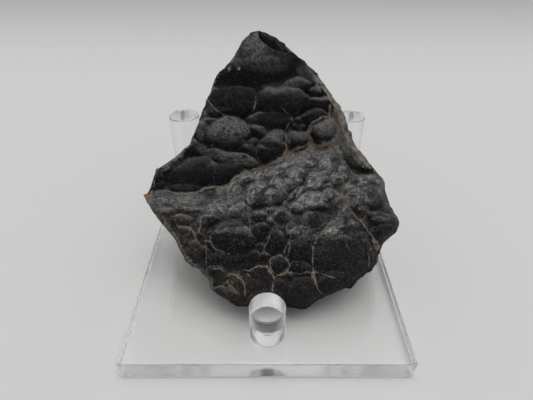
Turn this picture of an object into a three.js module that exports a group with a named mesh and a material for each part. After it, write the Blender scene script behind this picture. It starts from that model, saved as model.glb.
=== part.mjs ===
// A hand-sized specimen of botryoidal hematite on a three-peg stand of clear acrylic.
//
// The specimen is one stone: a crust of fused round lumps on a kite-shaped front,
// a broken rim and a rough broken back. It leans back on two tall pegs, its foot
// rests on the plate, and a short peg stops it from sliding forward.
// Millimetres, +Z up, -Y is the front, origin at the middle of the plate's underside.

import * as THREE from "three";

// ---- Stand: driving dimensions ------------------------------------------------

const PLATE_SIDE = 101.6;
const PLATE_THICKNESS = 8;
const PLATE_CHAMFER = 0.5;
const PEG_DIAMETER = 12.7;
const PEG_CHAMFER = 0.4;
const PEG_SIDES = 40;
const FRONT_PEG = { x: 0, y: -38.1, height: 14 };
const BACK_PEG = { x: 35.4, y: 33.2, height: 50.8 };

// ---- Specimen: driving dimensions ---------------------------------------------

// The rim of the front face lies in one plane that leans back from level. u runs
// across the face, v up the face and w out of it; the face's foot is on this line.
const FACE_LEAN = THREE.MathUtils.degToRad(46);
const FACE_FOOT = { y: -30, z: 11.5 };
const SEAT_GAP = 0.3; // between the stone and the stand, on every side
const FRONT_CELLS = { across: 60, down: 54 };
const BACK_CELLS = { across: 20, down: 18 };
const WALL_RINGS = 2; // rings of back cells that make the broken side wall
const WALL_INSET = 0.022; // share of the face that the side wall leans inwards

// The rim as four chains of [u, v] between the stone's four corners.
const RIM_TIP_TO_LEFT = [
  [-3.5, 109.2], [-7.3, 107.6], [-10.4, 104.3], [-13.1, 98.9], [-14.5, 95.8],
  [-18.5, 92], [-21, 88.2], [-22.3, 83.2], [-24.9, 78.4], [-25.9, 75],
  [-27.5, 69.7], [-29.2, 64.7], [-29.9, 62], [-32, 60.4], [-34.7, 57],
  [-36.7, 55.9], [-39.4, 53], [-43, 52.2], [-44, 49], [-44.4, 44],
  [-44.9, 42.6], [-47.5, 42],
];
const RIM_LEFT_TO_FOOT = [
  [-47.5, 42], [-46.6, 40.4], [-45.7, 38.7], [-43, 35], [-39.2, 30.7],
  [-35.4, 25.4], [-33.7, 22], [-30.4, 16.7], [-28.4, 14.7], [-25.4, 13.7],
  [-22, 10], [-20.9, 6.4], [-19.5, 5], [-15, 2.9], [-11.7, 0.6], [-6.4, 0.2], [0, 0],
];
const RIM_RIGHT_TO_FOOT = [
  [50.4, 30.9], [49.2, 27.7], [45.2, 24.9], [42, 21.3], [41.7, 16.6],
  [39.7, 14], [35.3, 11.4], [32.5, 8], [29.7, 6.8], [24.2, 4.6],
  [19.8, 2.9], [16.2, 0.5], [13, -0.7], [7.1, 0.1], [0, 0],
];
const RIM_TIP_TO_RIGHT = [
  [-3.5, 109.2], [0.4, 107.2], [3.8, 106], [7.3, 102.6], [12.3, 98],
  [16.1, 94.1], [19.6, 90.1], [23.8, 85.1], [26.4, 80.4], [29.1, 77.1],
  [32.3, 68.1], [34.1, 62.1], [37.3, 57.3], [40.9, 53.3], [42.5, 50.5],
  [44.6, 48.1], [45.2, 45.7], [45.6, 40.6], [47.6, 36.6], [49.8, 33.6], [50.4, 30.9],
];

// The valley that crosses the face, and the crest of the shelf below it, as v over u.
const VALLEY = [
  [-46.4, 43.6], [-28.3, 43.5], [-25.1, 45.7], [-17.5, 45.9], [-10.3, 51.2], [0, 54.1],
  [8.3, 59.3], [16.5, 63], [20.8, 61.7], [27.4, 64], [30.2, 58.6], [32.5, 53], [36.6, 51], [46.7, 50.6],
];
const CREST = [
  [-45, 38.5], [-30, 37], [-15, 32], [0, 30], [30, 30], [38, 34], [45, 35], [50, 33],
];
const CHAIN_EASE = 1.2; // both chains are averaged over this far to either side
const VALLEY_LEVEL = -5;
const VALLEY_LIFT = { rise: 2.5, from: -14, to: 10 }; // the valley is shallower on the right
const CREST_LEVEL = 6;
const CREST_DROP = { fall: 3.5, from: 14, to: 34 }; // the crest is lower on the left
const UPPER_CLIMB = { rise: 3, over: 10 }; // how the upper face climbs back out of the valley
const TIP_BLOCK = { foot: 84.5, brow: 95, rise: 5.5, fallFrom: 91, end: 109, fall: 4, bend: 1.8 };
// A smooth break scooped out of the tip: an ellipse as below, deep along its lower edge and
// sloping up from there to the rim.
const SHELL_BREAK = [4.1, 103.8, 8.6, 4.6, -35];
const SHELL_FLOOR = { depth: 0.8, slope: 0.6, highest: 0.6 };
const LOWER_FALL = { share: 0.7, bend: 1.4 }; // how the lower face drops from the crest
const RIM_ROLL = 2; // distance over which the face rolls down to its rim
const RIM_BAND = { inset: 2.6, width: 1.2, rise: 1.8, fromU: 8, fromV: 50 };

// The rounded lumps: [u, v, half width, half height, turn in degrees, rise].
const LUMPS = [
  // big dark pillows under the tip, and the small ones along their edges
  [-13.3, 79, 8.9, 5.2, 0, 5], [5.3, 79.6, 9.8, 5.2, 2, 5.2], [0.8, 71.2, 8, 4, -4, 4.2],
  [11.8, 86.2, 4.8, 3, 15, 3.6], [15.3, 86.2, 2, 2.3, 0, 4.2], [19, 83.4, 2.6, 2.4, 0, 3],
  [20.3, 78.6, 4.6, 2.4, 0, 3], [18.2, 73.2, 5, 2.9, 8, 3.3], [-22, 75.8, 3.2, 2.6, -35, 2.2],
  [12.4, 71.3, 1.9, 2, 0, 2], [12.2, 69, 3, 1.5, 0, 1.6], [-22.5, 71.6, 3, 1.5, 0, 1.8],
  [-17.5, 81, 4.6, 4.6, 0, 4.6], [-8.6, 80.6, 4, 4.8, 0, 4.7],
  // middle of the upper face, with the lone ball at the right
  [-15.5, 66.4, 7.4, 6, 0, 5], [-26.3, 67, 3, 4, 0, 2.5], [-3.6, 67.6, 5, 2.1, -22, 3.2],
  [2.6, 61.6, 4.6, 4.8, 0, 4.6],
  [-9.5, 61, 2.8, 1.8, 15, 1.8], [-5, 62.5, 2.4, 2.2, 0, 1.8], [3.4, 64.4, 3.9, 3.2, 0, 3.6],
  [0.9, 58.7, 5.2, 3.9, 4, 4.5], [11.9, 63.9, 3.8, 3.5, 0, 4], [22.5, 66.6, 4.9, 5, 0, 5],
  // the row that overhangs the valley
  [-28, 61, 4, 2.4, -25, 2.2], [-22, 58.4, 1.4, 1.4, 0, 1.1], [-15.5, 57.6, 7.4, 2.1, -9, 2.6],
  [-8.5, 54.3, 5, 2.4, -18, 2.2], [-28, 49.5, 9.5, 6.4, 14, 3.6], [-16.5, 50.2, 7, 4.6, 20, 3.2],
  [-37, 51, 3, 4, -30, 2.2], [-42, 47.5, 2.2, 4, 0, 2], [35.3, 55.4, 6.6, 3, -42, 2.6],
  // the pale shelf under the valley
  [-38.8, 41.2, 3.8, 2, 0, 1.2], [-30, 40.4, 5.4, 2.2, 0, 1], [-21.5, 43.2, 3.2, 1.8, -10, 1.2],
  [-14.5, 44.8, 4, 3.6, 25, 1.6], [-8.6, 47.8, 3.6, 2.8, 15, 2], [-13.5, 40.5, 3.4, 3, 0, 1.2],
  [-4.6, 41.8, 4, 4.4, -5, 2.6], [3.4, 46, 2.8, 2.6, 20, 1.8], [8.6, 45.6, 2.2, 2.6, 0, 1.9],
  [2.6, 41, 3.4, 3, -10, 2.4], [-1, 50, 4.6, 2.4, 15, 1.2], [5.5, 52.5, 4, 2.6, 25, 1],
  [11.3, 49.6, 3.4, 3.6, 10, 2.3], [16.6, 55.5, 3.6, 2.4, 25, 1.4], [12, 55.5, 3, 2.2, 20, 1.2],
  [23.6, 54, 3, 3.4, 0, 1.7], [18.6, 47.2, 3.6, 3, 12, 2.2], [22.8, 49, 2, 2.4, 0, 1.7],
  [26.8, 47.8, 2.2, 2.2, 0, 1.5], [29.8, 50.4, 2, 2.8, 0, 1.6], [37.5, 47.3, 5.8, 2.8, -8, 1.6],
  [32, 44.2, 2.4, 2.4, 0, 1.2],
  // the crest, where the lumps are smallest and most crowded
  [9.7, 41.6, 1.2, 2.4, -38, 1.5], [12.9, 42.7, 1.2, 2.8, -35, 1.6], [17.6, 40.1, 5.4, 2.9, 2, 2.8],
  [24, 41.8, 2.4, 2.4, -30, 1.8], [11.6, 36.8, 2.4, 2.2, 0, 2.2], [5.4, 34.2, 2.6, 2.8, 10, 2],
  [17.8, 32, 4.2, 3.8, 0, 1.4], [34.6, 39.8, 4, 4.2, 0, 3], [40.5, 41.5, 4, 4.6, 0, 2.8],
  [-19.5, 37.6, 3.8, 3.6, 0, 1.4], [-11.5, 36, 3.4, 3.2, 10, 1.5], [-21.5, 32.5, 3.6, 2.2, 0, 1.4],
  [-29.5, 36.7, 4.6, 1.1, 4, 1.1], [1.5, 36.6, 1.8, 1.6, 0, 1], [-3, 34.4, 3.2, 2.4, 0, 1.6],
  [30.6, 34.6, 1.8, 3.2, 15, 1.2], [43.5, 33.4, 5.6, 2.4, -6, 2.4], [44.5, 28.3, 4.6, 2.8, 20, 2.3],
  [34.5, 28.8, 4, 3.6, 0, 2.2], [25.5, 27.6, 4.6, 2, 12, 1.9], [13.5, 28, 3.6, 2, -5, 1.8],
  [9.2, 27.9, 1.2, 1.3, 0, 1.6],
  // the dark lower face
  [1.3, 31.8, 1.6, 1.6, 0, 1.4], [-13.5, 25.4, 8, 5.8, -5, 3.6], [-3, 28.2, 2.9, 3.2, 0, 2.2],
  [3.6, 24, 3, 3.9, 5, 2.2], [12.5, 21, 4.4, 4.2, 0, 2.1], [27, 19.5, 9.2, 6, -3, 2.7],
  [37.5, 19.5, 2.8, 4, 10, 1.6], [4.5, 15.2, 3, 3.2, 0, 1.5], [-2.8, 22.3, 1.9, 1.7, 0, 1.3],
  [-1.6, 18.2, 2.1, 1.8, 0, 1.3], [-5, 18.4, 2, 1.9, 0, 1.2], [-19.3, 17.6, 3.8, 2.3, 0, 1.6],
  [-12.3, 17.2, 4.2, 2.5, 0, 1.6], [-24.8, 19, 2.4, 3, 15, 1.3], [-28, 22.3, 2.2, 2.4, 0, 1.2],
  [-19.8, 11.8, 3.6, 2.6, 0, 1.5], [-2.5, 12, 3.2, 2.7, 0, 1.3], [12.8, 14.8, 3.9, 2.2, -5, 1.3],
  [8, 10.6, 2.4, 1.5, -15, 0.9], [6.3, 6.8, 4.2, 3.2, 0, 1.5], [-5, 6.5, 4.2, 3.2, 0, 1.1],
  [13.5, 5.8, 5, 4.6, 0, 1.9], [26, 9.2, 7, 3.6, 22, 1.9], [34.3, 14, 3.8, 2.5, 25, 1.3],
  [-15, 4.4, 4.6, 2.2, -15, 1.4], [0, 2.6, 5.5, 3.4, 0, 4],
  // broken ledges along the left flank
  [-38, 36.3, 4, 1.3, -8, 1.3], [-32, 33, 3.5, 1.8, -10, 1.4], [-31, 28, 3.2, 1.6, -15, 1.2],
];
const LUMP_OVERLAP = 1.2; // how far each lump grows into its neighbours
const LUMP_ROUNDNESS = 0.6; // 0.5 would be a true ellipsoid, steeper at its foot
const WAVE = { size: 4.2, reach: 0.9 }; // how far the lumps' outlines wander

// Lumps are placed as they look from this spot over the face, so each is carried down
// the line of sight to the ground that it grows on.
const EYE = { u: -1.2, v: 21.2, w: 151.8 };
const TYPICAL_RISE = 1.5;

// Scoops and pits: [u, v, half width, half height, turn in degrees, depth].
const HOLLOWS = [
  [19.5, 35.8, 4.6, 1.3, -3, 2.4], [17.6, 32.6, 2.8, 2.2, 0, 1.4], [7, 66.7, 1.3, 1.3, 0, 1.2],
  [-24.4, 25.4, 2.4, 1.8, 30, 1.8], [15.5, 96.5, 3, 1.2, -45, 1], [-12.3, 93.6, 2, 1.8, 20, 1.4],
  [-6, 100.8, 2.2, 1, 35, 0.5], [-9.6, 102.3, 1.4, 0.7, -40, 0.9],
];

// Flat chips at the rim: [u, v] on the cut's edge, the way it falls in degrees, slope, reach.
const CHIPS = [[-11.5, 101.5, 150, 0.7, 2.5], [-17, 91, 165, 0.5, 4]];
const CHIP_SIDE = { from: 0.8, to: 1.3 }; // shares of the reach between which a chip fades out

// The back is broken along a few flat faces; each limits the stone's depth.
const UNDER_BACK = { depth: 19.6, slope: 0.154 }; // deepens up the face
const UPPER_BACK = { depth: 51.5, slope: -0.427, sides: -0.05 }; // thins to the tip
const FLANK_SLOPE = 0.8; // how the back turns away from the two tall pegs
const EDGE_DEPTH = { thin: 3, thick: 13, fullFrom: 22, fullTo: 72, end: 105 };
const WALL_SLOPE = 7; // depth gained for each millimetre inwards from the rim
const FLANK_SPARE = 0.05; // kept at the tall pegs on top of the gap, for their flat sides
const BACK_BREAK = { depth: 1.1, wide: 9, narrow: 3 }; // rough waves over the broken faces
const FACE_GRAIN = { height: 0.32, size: 1.7 };

// ---- Materials ----------------------------------------------------------------

const hematiteStone = new THREE.MeshStandardMaterial({
  color: "#4d4e53", metalness: 0.5, roughness: 0.42, flatShading: true,
});
const clearAcrylic = new THREE.MeshStandardMaterial({
  color: "#f3f7f8", metalness: 0, roughness: 0.05, transparent: true, opacity: 0.35,
});

// ---- Small maths --------------------------------------------------------------

const clamp01 = (x) => THREE.MathUtils.clamp(x, 0, 1);
const ramp = (x, from, to) => THREE.MathUtils.smoothstep(clamp01((x - from) / (to - from)), 0, 1);

/** Straight-line interpolation of v over u along a chain sorted by u. */
function heightOver(chain, u) {
  const next = chain.findIndex((point) => point[0] > u);
  if (next < 0) return chain.at(-1)[1];
  if (next === 0) return chain[0][1];
  const [[u0, v0], [u1, v1]] = [chain[next - 1], chain[next]];
  return v0 + ((v1 - v0) * (u - u0)) / (u1 - u0);
}

/** The chain's height averaged over five places, so that it has no corners. */
function easedHeightOver(chain, u) {
  const steps = [-1, -0.5, 0, 0.5, 1];
  return steps.reduce((sum, step) => sum + heightOver(chain, u + step * CHAIN_EASE), 0) / steps.length;
}

/** A fixed pseudo-random number from 0 to 1 for each lattice point. */
function latticeValue(i, j) {
  const s = Math.sin(i * 127.1 + j * 311.7) * 43758.5453;
  return s - Math.floor(s);
}

/** Smooth pseudo-random noise from 0 to 1, blended between the lattice points. */
function noise(x, y) {
  const i = Math.floor(x);
  const j = Math.floor(y);
  const a = ramp(x - i, 0, 1);
  const b = ramp(y - j, 0, 1);
  const low = latticeValue(i, j) * (1 - a) + latticeValue(i + 1, j) * a;
  const high = latticeValue(i, j + 1) * (1 - a) + latticeValue(i + 1, j + 1) * a;
  return low * (1 - b) + high * b;
}

// ---- The rim ------------------------------------------------------------------

/** A function of t from 0 to 1 that walks a chain of points at an even pace. */
function walk(chain) {
  const path = new THREE.CurvePath();
  for (let k = 1; k < chain.length; k += 1) {
    path.add(new THREE.LineCurve(new THREE.Vector2(...chain[k - 1]), new THREE.Vector2(...chain[k])));
  }
  return (t) => path.getPointAt(t);
}

const rimTop = walk(RIM_TIP_TO_LEFT);
const rimLeft = walk(RIM_LEFT_TO_FOOT);
const rimFoot = walk(RIM_RIGHT_TO_FOOT);
const rimRight = walk(RIM_TIP_TO_RIGHT);
const CORNER = { tip: rimTop(0), left: rimTop(1), right: rimRight(1), foot: rimLeft(1) };

/** The point of the face at p (tip to left) and q (tip to right), both from 0 to 1. */
function facePoint(p, q) {
  const point = new THREE.Vector2();
  point.addScaledVector(rimTop(p), 1 - q).addScaledVector(rimFoot(p), q);
  point.addScaledVector(rimRight(q), 1 - p).addScaledVector(rimLeft(q), p);
  point.addScaledVector(CORNER.tip, -(1 - p) * (1 - q)).addScaledVector(CORNER.left, -p * (1 - q));
  point.addScaledVector(CORNER.right, -(1 - p) * q).addScaledVector(CORNER.foot, -p * q);
  return point;
}

const RIM_EDGES = [RIM_TIP_TO_LEFT, RIM_LEFT_TO_FOOT, RIM_RIGHT_TO_FOOT, RIM_TIP_TO_RIGHT].flatMap(
  (chain) => chain.slice(1).map((end, k) => new THREE.Line3(
    new THREE.Vector3(...chain[k], 0), new THREE.Vector3(...end, 0),
  )),
);

/** Shortest distance from a point of the face to the rim. */
function distanceToRim(u, v) {
  const here = new THREE.Vector3(u, v, 0);
  const nearest = new THREE.Vector3();
  return Math.min(...RIM_EDGES.map(
    (edge) => edge.closestPointToPoint(here, true, nearest).distanceTo(here),
  ));
}

// ---- The front ----------------------------------------------------------------

/** Squared distance from an ellipse's centre, in units of its own half widths. */
function inEllipse([cu, cv, halfWidth, halfHeight, turn], u, v, grow = 1) {
  const angle = THREE.MathUtils.degToRad(turn);
  const along = (u - cu) * Math.cos(angle) + (v - cv) * Math.sin(angle);
  const across = (v - cv) * Math.cos(angle) - (u - cu) * Math.sin(angle);
  return (along / (halfWidth * grow)) ** 2 + (across / (halfHeight * grow)) ** 2;
}

/** How deep the tip's smooth break lies, less and less from its lower edge to the rim. */
function shellBreak(u, v) {
  const inside = ramp(-inEllipse(SHELL_BREAK, u, v), -1.1, -0.9);
  const [cu, cv, , , turn] = SHELL_BREAK;
  const angle = THREE.MathUtils.degToRad(turn);
  const across = (v - cv) * Math.cos(angle) - (u - cu) * Math.sin(angle);
  return inside * Math.max(SHELL_FLOOR.depth - SHELL_FLOOR.slope * across, -SHELL_FLOOR.highest);
}

/** The large shape of the face: tip block, upper face, valley, shelf and lower face. */
function faceGround(u, v) {
  const valley = easedHeightOver(VALLEY, u);
  const crest = easedHeightOver(CREST, u);
  const bottom = VALLEY_LEVEL + VALLEY_LIFT.rise * ramp(u, VALLEY_LIFT.from, VALLEY_LIFT.to);
  const top = CREST_LEVEL - CREST_DROP.fall * ramp(-u, CREST_DROP.from, CREST_DROP.to);
  if (v >= valley) {
    const climb = UPPER_CLIMB.rise * (1 - Math.exp((valley - v) / UPPER_CLIMB.over));
    const tip = TIP_BLOCK.rise * ramp(v, TIP_BLOCK.foot, TIP_BLOCK.brow);
    const down = clamp01((v - TIP_BLOCK.fallFrom) / (TIP_BLOCK.end - TIP_BLOCK.fallFrom));
    return bottom + climb + tip - TIP_BLOCK.fall * down ** TIP_BLOCK.bend - shellBreak(u, v);
  }
  if (v >= crest) {
    const t = (valley - v) / (valley - crest);
    return bottom + (top - bottom) * (0.5 * t + 0.5 * Math.sin((Math.PI / 2) * t));
  }
  const t = clamp01((crest - v) / crest);
  return top * (1 - LOWER_FALL.share * t ** LOWER_FALL.bend);
}

/** The rise of the highest lump over a point of the face. */
function highestLump(u, v) {
  const grow = (faceGround(u, v) + TYPICAL_RISE) / (EYE.w - faceGround(u, v) - TYPICAL_RISE);
  const seenU = u + (u - EYE.u) * grow;
  const seenV = v + (v - EYE.v) * grow;
  const atU = seenU + 2 * WAVE.reach * (noise(seenU / WAVE.size + 11, seenV / WAVE.size) - 0.5);
  const atV = seenV + 2 * WAVE.reach * (noise(seenU / WAVE.size, seenV / WAVE.size + 23) - 0.5);
  return Math.max(0, ...LUMPS.map((one) => {
    const r2 = inEllipse(one, atU, atV, LUMP_OVERLAP);
    return r2 < 1 ? one[5] * (1 - r2) ** LUMP_ROUNDNESS : 0;
  }));
}

/** How deep the flat chips cut: slope times the distance past each cut's edge. */
function chipped(u, v) {
  return CHIPS.reduce((sum, [cu, cv, way, slope, reach]) => {
    const turn = THREE.MathUtils.degToRad(way);
    const past = (u - cu) * Math.cos(turn) + (v - cv) * Math.sin(turn);
    const aside = Math.abs((v - cv) * Math.cos(turn) - (u - cu) * Math.sin(turn));
    return sum + slope * Math.max(0, past) * (1 - ramp(aside / reach, CHIP_SIDE.from, CHIP_SIDE.to));
  }, 0);
}

/** How far the front stands out of the rim's plane. */
function frontHeight(u, v) {
  const distance = distanceToRim(u, v);
  const scoop = HOLLOWS.reduce((sum, one) => sum + one[5] * Math.max(0, 1 - inEllipse(one, u, v)), 0);
  const band = u > RIM_BAND.fromU && v > RIM_BAND.fromV
    ? RIM_BAND.rise * Math.exp(-(((distance - RIM_BAND.inset) / RIM_BAND.width) ** 2))
    : 0;
  const grain = FACE_GRAIN.height * (noise(u / FACE_GRAIN.size, v / FACE_GRAIN.size) - 0.5);
  const roll = 1 - Math.exp(-distance / RIM_ROLL);
  return roll * (faceGround(u, v) + highestLump(u, v) - scoop - chipped(u, v) + grain) + band;
}

// ---- The back -----------------------------------------------------------------

/** How far the broken back lies behind the rim's plane. */
function backDepth(u, v) {
  const sine = Math.sin(FACE_LEAN);
  const cosine = Math.cos(FACE_LEAN);
  const floor = PLATE_THICKNESS + SEAT_GAP;
  const seat = (FACE_FOOT.z + v * sine - floor) / cosine;
  const tangent = Math.hypot(1, FLANK_SLOPE);
  const reach = PEG_DIAMETER / 2 + SEAT_GAP + FLANK_SPARE;
  const pegLine = BACK_PEG.y - reach / tangent + FLANK_SLOPE * (BACK_PEG.x - (FLANK_SLOPE * reach) / tangent);
  const flank = (pegLine - FLANK_SLOPE * Math.abs(u) - FACE_FOOT.y - v * cosine) / sine;
  const under = UNDER_BACK.depth + UNDER_BACK.slope * v;
  const upper = UPPER_BACK.depth + UPPER_BACK.slope * v + UPPER_BACK.sides * Math.abs(u);
  const full = ramp(v, 0, EDGE_DEPTH.fullFrom) * (1 - ramp(v, EDGE_DEPTH.fullTo, EDGE_DEPTH.end));
  const edge = EDGE_DEPTH.thin + (EDGE_DEPTH.thick - EDGE_DEPTH.thin) * full;
  const wall = edge + WALL_SLOPE * distanceToRim(u, v);
  const wide = noise(u / BACK_BREAK.wide + 40, v / BACK_BREAK.wide);
  const narrow = noise(u / BACK_BREAK.narrow, v / BACK_BREAK.narrow + 70);
  const broken = BACK_BREAK.depth * (0.7 * wide + 0.3 * narrow);
  return Math.min(seat, Math.min(under, upper, flank, wall) - broken);
}

// ---- Closing the stone --------------------------------------------------------

/** From face coordinates to the stand's own frame. */
function toStand(u, v, w) {
  return new THREE.Vector3(
    u,
    FACE_FOOT.y + v * Math.cos(FACE_LEAN) - w * Math.sin(FACE_LEAN),
    FACE_FOOT.z + v * Math.sin(FACE_LEAN) + w * Math.cos(FACE_LEAN),
  );
}

/** A grid of vertex numbers, rows down the face and columns across it. */
function grid(down, across, place) {
  const rows = [];
  for (let i = 0; i <= down; i += 1) {
    const row = [];
    for (let j = 0; j <= across; j += 1) row.push(place(i, j));
    rows.push(row);
  }
  return rows;
}

/** The vertex numbers once round the border of a grid. */
function border(rows) {
  const last = rows.length - 1;
  const end = rows[0].length - 1;
  return [
    ...rows[0].slice(0, end),
    ...rows.slice(0, last).map((row) => row[end]),
    ...rows[last].slice(1).reverse(),
    ...rows.slice(1).reverse().map((row) => row[0]),
  ];
}

/** The specimen: front grid, back grid, and the strip of side wall that joins them. */
function buildStone() {
  const points = [];
  const faces = [];
  const add = (u, v, w) => points.push(toStand(u, v, w)) - 1;

  const front = grid(FRONT_CELLS.down, FRONT_CELLS.across, (i, j) => {
    const at = facePoint(i / FRONT_CELLS.down, j / FRONT_CELLS.across);
    return add(at.x, at.y, frontHeight(at.x, at.y));
  });

  const back = grid(BACK_CELLS.down, BACK_CELLS.across, (i, j) => {
    const share = (k, count) => {
      const ring = Math.min(k, count - k, WALL_RINGS) + 0.5;
      const inset = (WALL_INSET * ring) / (WALL_RINGS + 0.5);
      if (k < WALL_RINGS) return inset;
      if (k > count - WALL_RINGS) return 1 - inset;
      return WALL_INSET + ((1 - 2 * WALL_INSET) * (k - WALL_RINGS)) / (count - 2 * WALL_RINGS);
    };
    const at = facePoint(share(i, BACK_CELLS.down), share(j, BACK_CELLS.across));
    const ring = Math.min(i, BACK_CELLS.down - i, j, BACK_CELLS.across - j, WALL_RINGS);
    const reached = (ring + 0.5) / (WALL_RINGS + 0.5);
    return add(at.x, at.y, -backDepth(at.x, at.y) * reached);
  });

  // Each cell is split along its more level diagonal, so that creases stay clean.
  const level = (a, b) => Math.abs(points[a].z - points[b].z);
  const quad = (a, b, c, d) => {
    if (level(a, c) <= level(b, d)) faces.push(a, b, c, a, c, d);
    else faces.push(b, c, d, b, d, a);
  };
  for (let i = 0; i < FRONT_CELLS.down; i += 1) {
    for (let j = 0; j < FRONT_CELLS.across; j += 1) {
      quad(front[i][j], front[i + 1][j], front[i + 1][j + 1], front[i][j + 1]);
    }
  }
  for (let i = 0; i < BACK_CELLS.down; i += 1) {
    for (let j = 0; j < BACK_CELLS.across; j += 1) {
      quad(back[i][j], back[i][j + 1], back[i + 1][j + 1], back[i + 1][j]);
    }
  }

  // Each step of the coarse back border meets several steps of the fine front one.
  const fine = border(front);
  const coarse = border(back);
  const ratio = fine.length / coarse.length;
  coarse.forEach((corner, k) => {
    const nextCorner = coarse[(k + 1) % coarse.length];
    const middle = Math.ceil(ratio / 2);
    for (let step = 0; step < ratio; step += 1) {
      const a = fine[k * ratio + step];
      const b = fine[(k * ratio + step + 1) % fine.length];
      faces.push(a, b, step < middle ? corner : nextCorner);
      if (step === middle - 1) faces.push(b, nextCorner, corner);
    }
  });

  const geometry = new THREE.BufferGeometry().setFromPoints(points);
  geometry.setIndex(faces);
  geometry.computeVertexNormals();
  return geometry;
}

// ---- The stand ----------------------------------------------------------------

/** The square plate with its four sides polished to a small bevel. */
function buildPlate() {
  const half = PLATE_SIDE / 2 - PLATE_CHAMFER;
  const square = new THREE.Shape([
    new THREE.Vector2(-half, -half),
    new THREE.Vector2(half, -half),
    new THREE.Vector2(half, half),
    new THREE.Vector2(-half, half),
  ]);
  const geometry = new THREE.ExtrudeGeometry(square, {
    depth: PLATE_THICKNESS - 2 * PLATE_CHAMFER,
    bevelEnabled: true,
    bevelSegments: 1,
    bevelSize: PLATE_CHAMFER,
    bevelThickness: PLATE_CHAMFER,
  });
  return geometry.translate(0, 0, PLATE_CHAMFER);
}

/** A round peg with a flat foot and a broken top edge, standing on z = 0. */
function buildPeg(height) {
  const radius = PEG_DIAMETER / 2;
  const profile = [
    new THREE.Vector2(0, 0),
    new THREE.Vector2(radius, 0),
    new THREE.Vector2(radius, height - PEG_CHAMFER),
    new THREE.Vector2(radius - PEG_CHAMFER, height),
    new THREE.Vector2(0, height),
  ];
  return new THREE.LatheGeometry(profile, PEG_SIDES).rotateX(Math.PI / 2);
}

// ---- Assembly -----------------------------------------------------------------

function named(name, geometry, material) {
  const mesh = new THREE.Mesh(geometry, material);
  mesh.name = name;
  return mesh;
}

const specimen = new THREE.Group();
specimen.add(named("hematite", buildStone(), hematiteStone));
specimen.add(named("base_plate", buildPlate(), clearAcrylic));

const pegs = [
  ["front_peg", FRONT_PEG.x, FRONT_PEG.y, FRONT_PEG.height],
  ["back_left_peg", -BACK_PEG.x, BACK_PEG.y, BACK_PEG.height],
  ["back_right_peg", BACK_PEG.x, BACK_PEG.y, BACK_PEG.height],
];
for (const [name, x, y, height] of pegs) {
  const peg = named(name, buildPeg(height), clearAcrylic);
  peg.position.set(x, y, PLATE_THICKNESS);
  specimen.add(peg);
}

export default specimen;
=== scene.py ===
"""Looks of a botryoidal hematite specimen on a clear acrylic three-peg stand."""
import math

import bpy
import numpy as np
from mathutils import Matrix, Vector


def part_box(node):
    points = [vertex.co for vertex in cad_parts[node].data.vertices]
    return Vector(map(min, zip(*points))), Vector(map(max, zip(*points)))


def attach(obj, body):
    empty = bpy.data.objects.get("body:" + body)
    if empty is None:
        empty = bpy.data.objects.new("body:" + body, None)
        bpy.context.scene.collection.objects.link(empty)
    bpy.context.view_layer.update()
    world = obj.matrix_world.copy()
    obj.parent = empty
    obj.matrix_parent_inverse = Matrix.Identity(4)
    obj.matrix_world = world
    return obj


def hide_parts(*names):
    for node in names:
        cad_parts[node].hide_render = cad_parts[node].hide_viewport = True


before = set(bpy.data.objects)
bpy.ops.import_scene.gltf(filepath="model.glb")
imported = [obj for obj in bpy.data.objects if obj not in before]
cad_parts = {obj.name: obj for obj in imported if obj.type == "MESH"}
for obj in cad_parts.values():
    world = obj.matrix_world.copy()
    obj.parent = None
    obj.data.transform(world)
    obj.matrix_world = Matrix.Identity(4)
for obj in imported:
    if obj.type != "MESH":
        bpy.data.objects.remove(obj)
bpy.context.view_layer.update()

scene = bpy.context.scene


# ---- Camera -------------------------------------------------------------------
# A viewer stands close in front of the short peg and looks down on the stone, so
# that the leaning face is seen almost square on.

CAMERA_PLACE = Vector((-0.00123, -0.12449, 0.13220))
CAMERA_DOWN = math.radians(36.92)
CAMERA_TURN = math.radians(0.44)
CAMERA_ROLL = math.radians(0.42)
CAMERA_LENS_MM = 26.94
SENSOR_MM = 36

ahead = Vector((
    math.sin(CAMERA_TURN) * math.cos(CAMERA_DOWN),
    math.cos(CAMERA_TURN) * math.cos(CAMERA_DOWN),
    -math.sin(CAMERA_DOWN),
))
level = Vector((math.cos(CAMERA_TURN), -math.sin(CAMERA_TURN), 0))
upward = level.cross(ahead)
to_right = level * math.cos(CAMERA_ROLL) + upward * math.sin(CAMERA_ROLL)
to_top = upward * math.cos(CAMERA_ROLL) - level * math.sin(CAMERA_ROLL)

camera_data = bpy.data.cameras.new("camera")
camera_data.sensor_width = SENSOR_MM
camera_data.lens = CAMERA_LENS_MM
camera_data.clip_start = 0.01
camera_data.clip_end = 20
camera = bpy.data.objects.new("camera", camera_data)
scene.collection.objects.link(camera)
camera.matrix_world = Matrix.Translation(CAMERA_PLACE) @ Matrix(
    (to_right, to_top, -ahead)
).transposed().to_4x4()
scene.camera = camera


# ---- Floor and light ----------------------------------------------------------
# A pale matt table under a wide soft light almost straight overhead, so that the
# stone's ledges are lit and its overhangs stay dark.

FLOOR_DROP = 0.0003
FLOOR_HALF = 4.0
# The table's colour runs from near to far; the darker far colour is painted shade.
FLOOR_NEAR = (0.66, 0.66, 0.645, 1)
FLOOR_FAR_PAINTED_SHADE = (0.42, 0.42, 0.425, 1)
FLOOR_PAINTED_FALLOFF = (200.0, 720.0)
FLOOR_ROUGHNESS = 0.7


# The materials are written as sums: a Wire is one socket, and each operator on it
# adds the Math node that it stands for.

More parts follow.
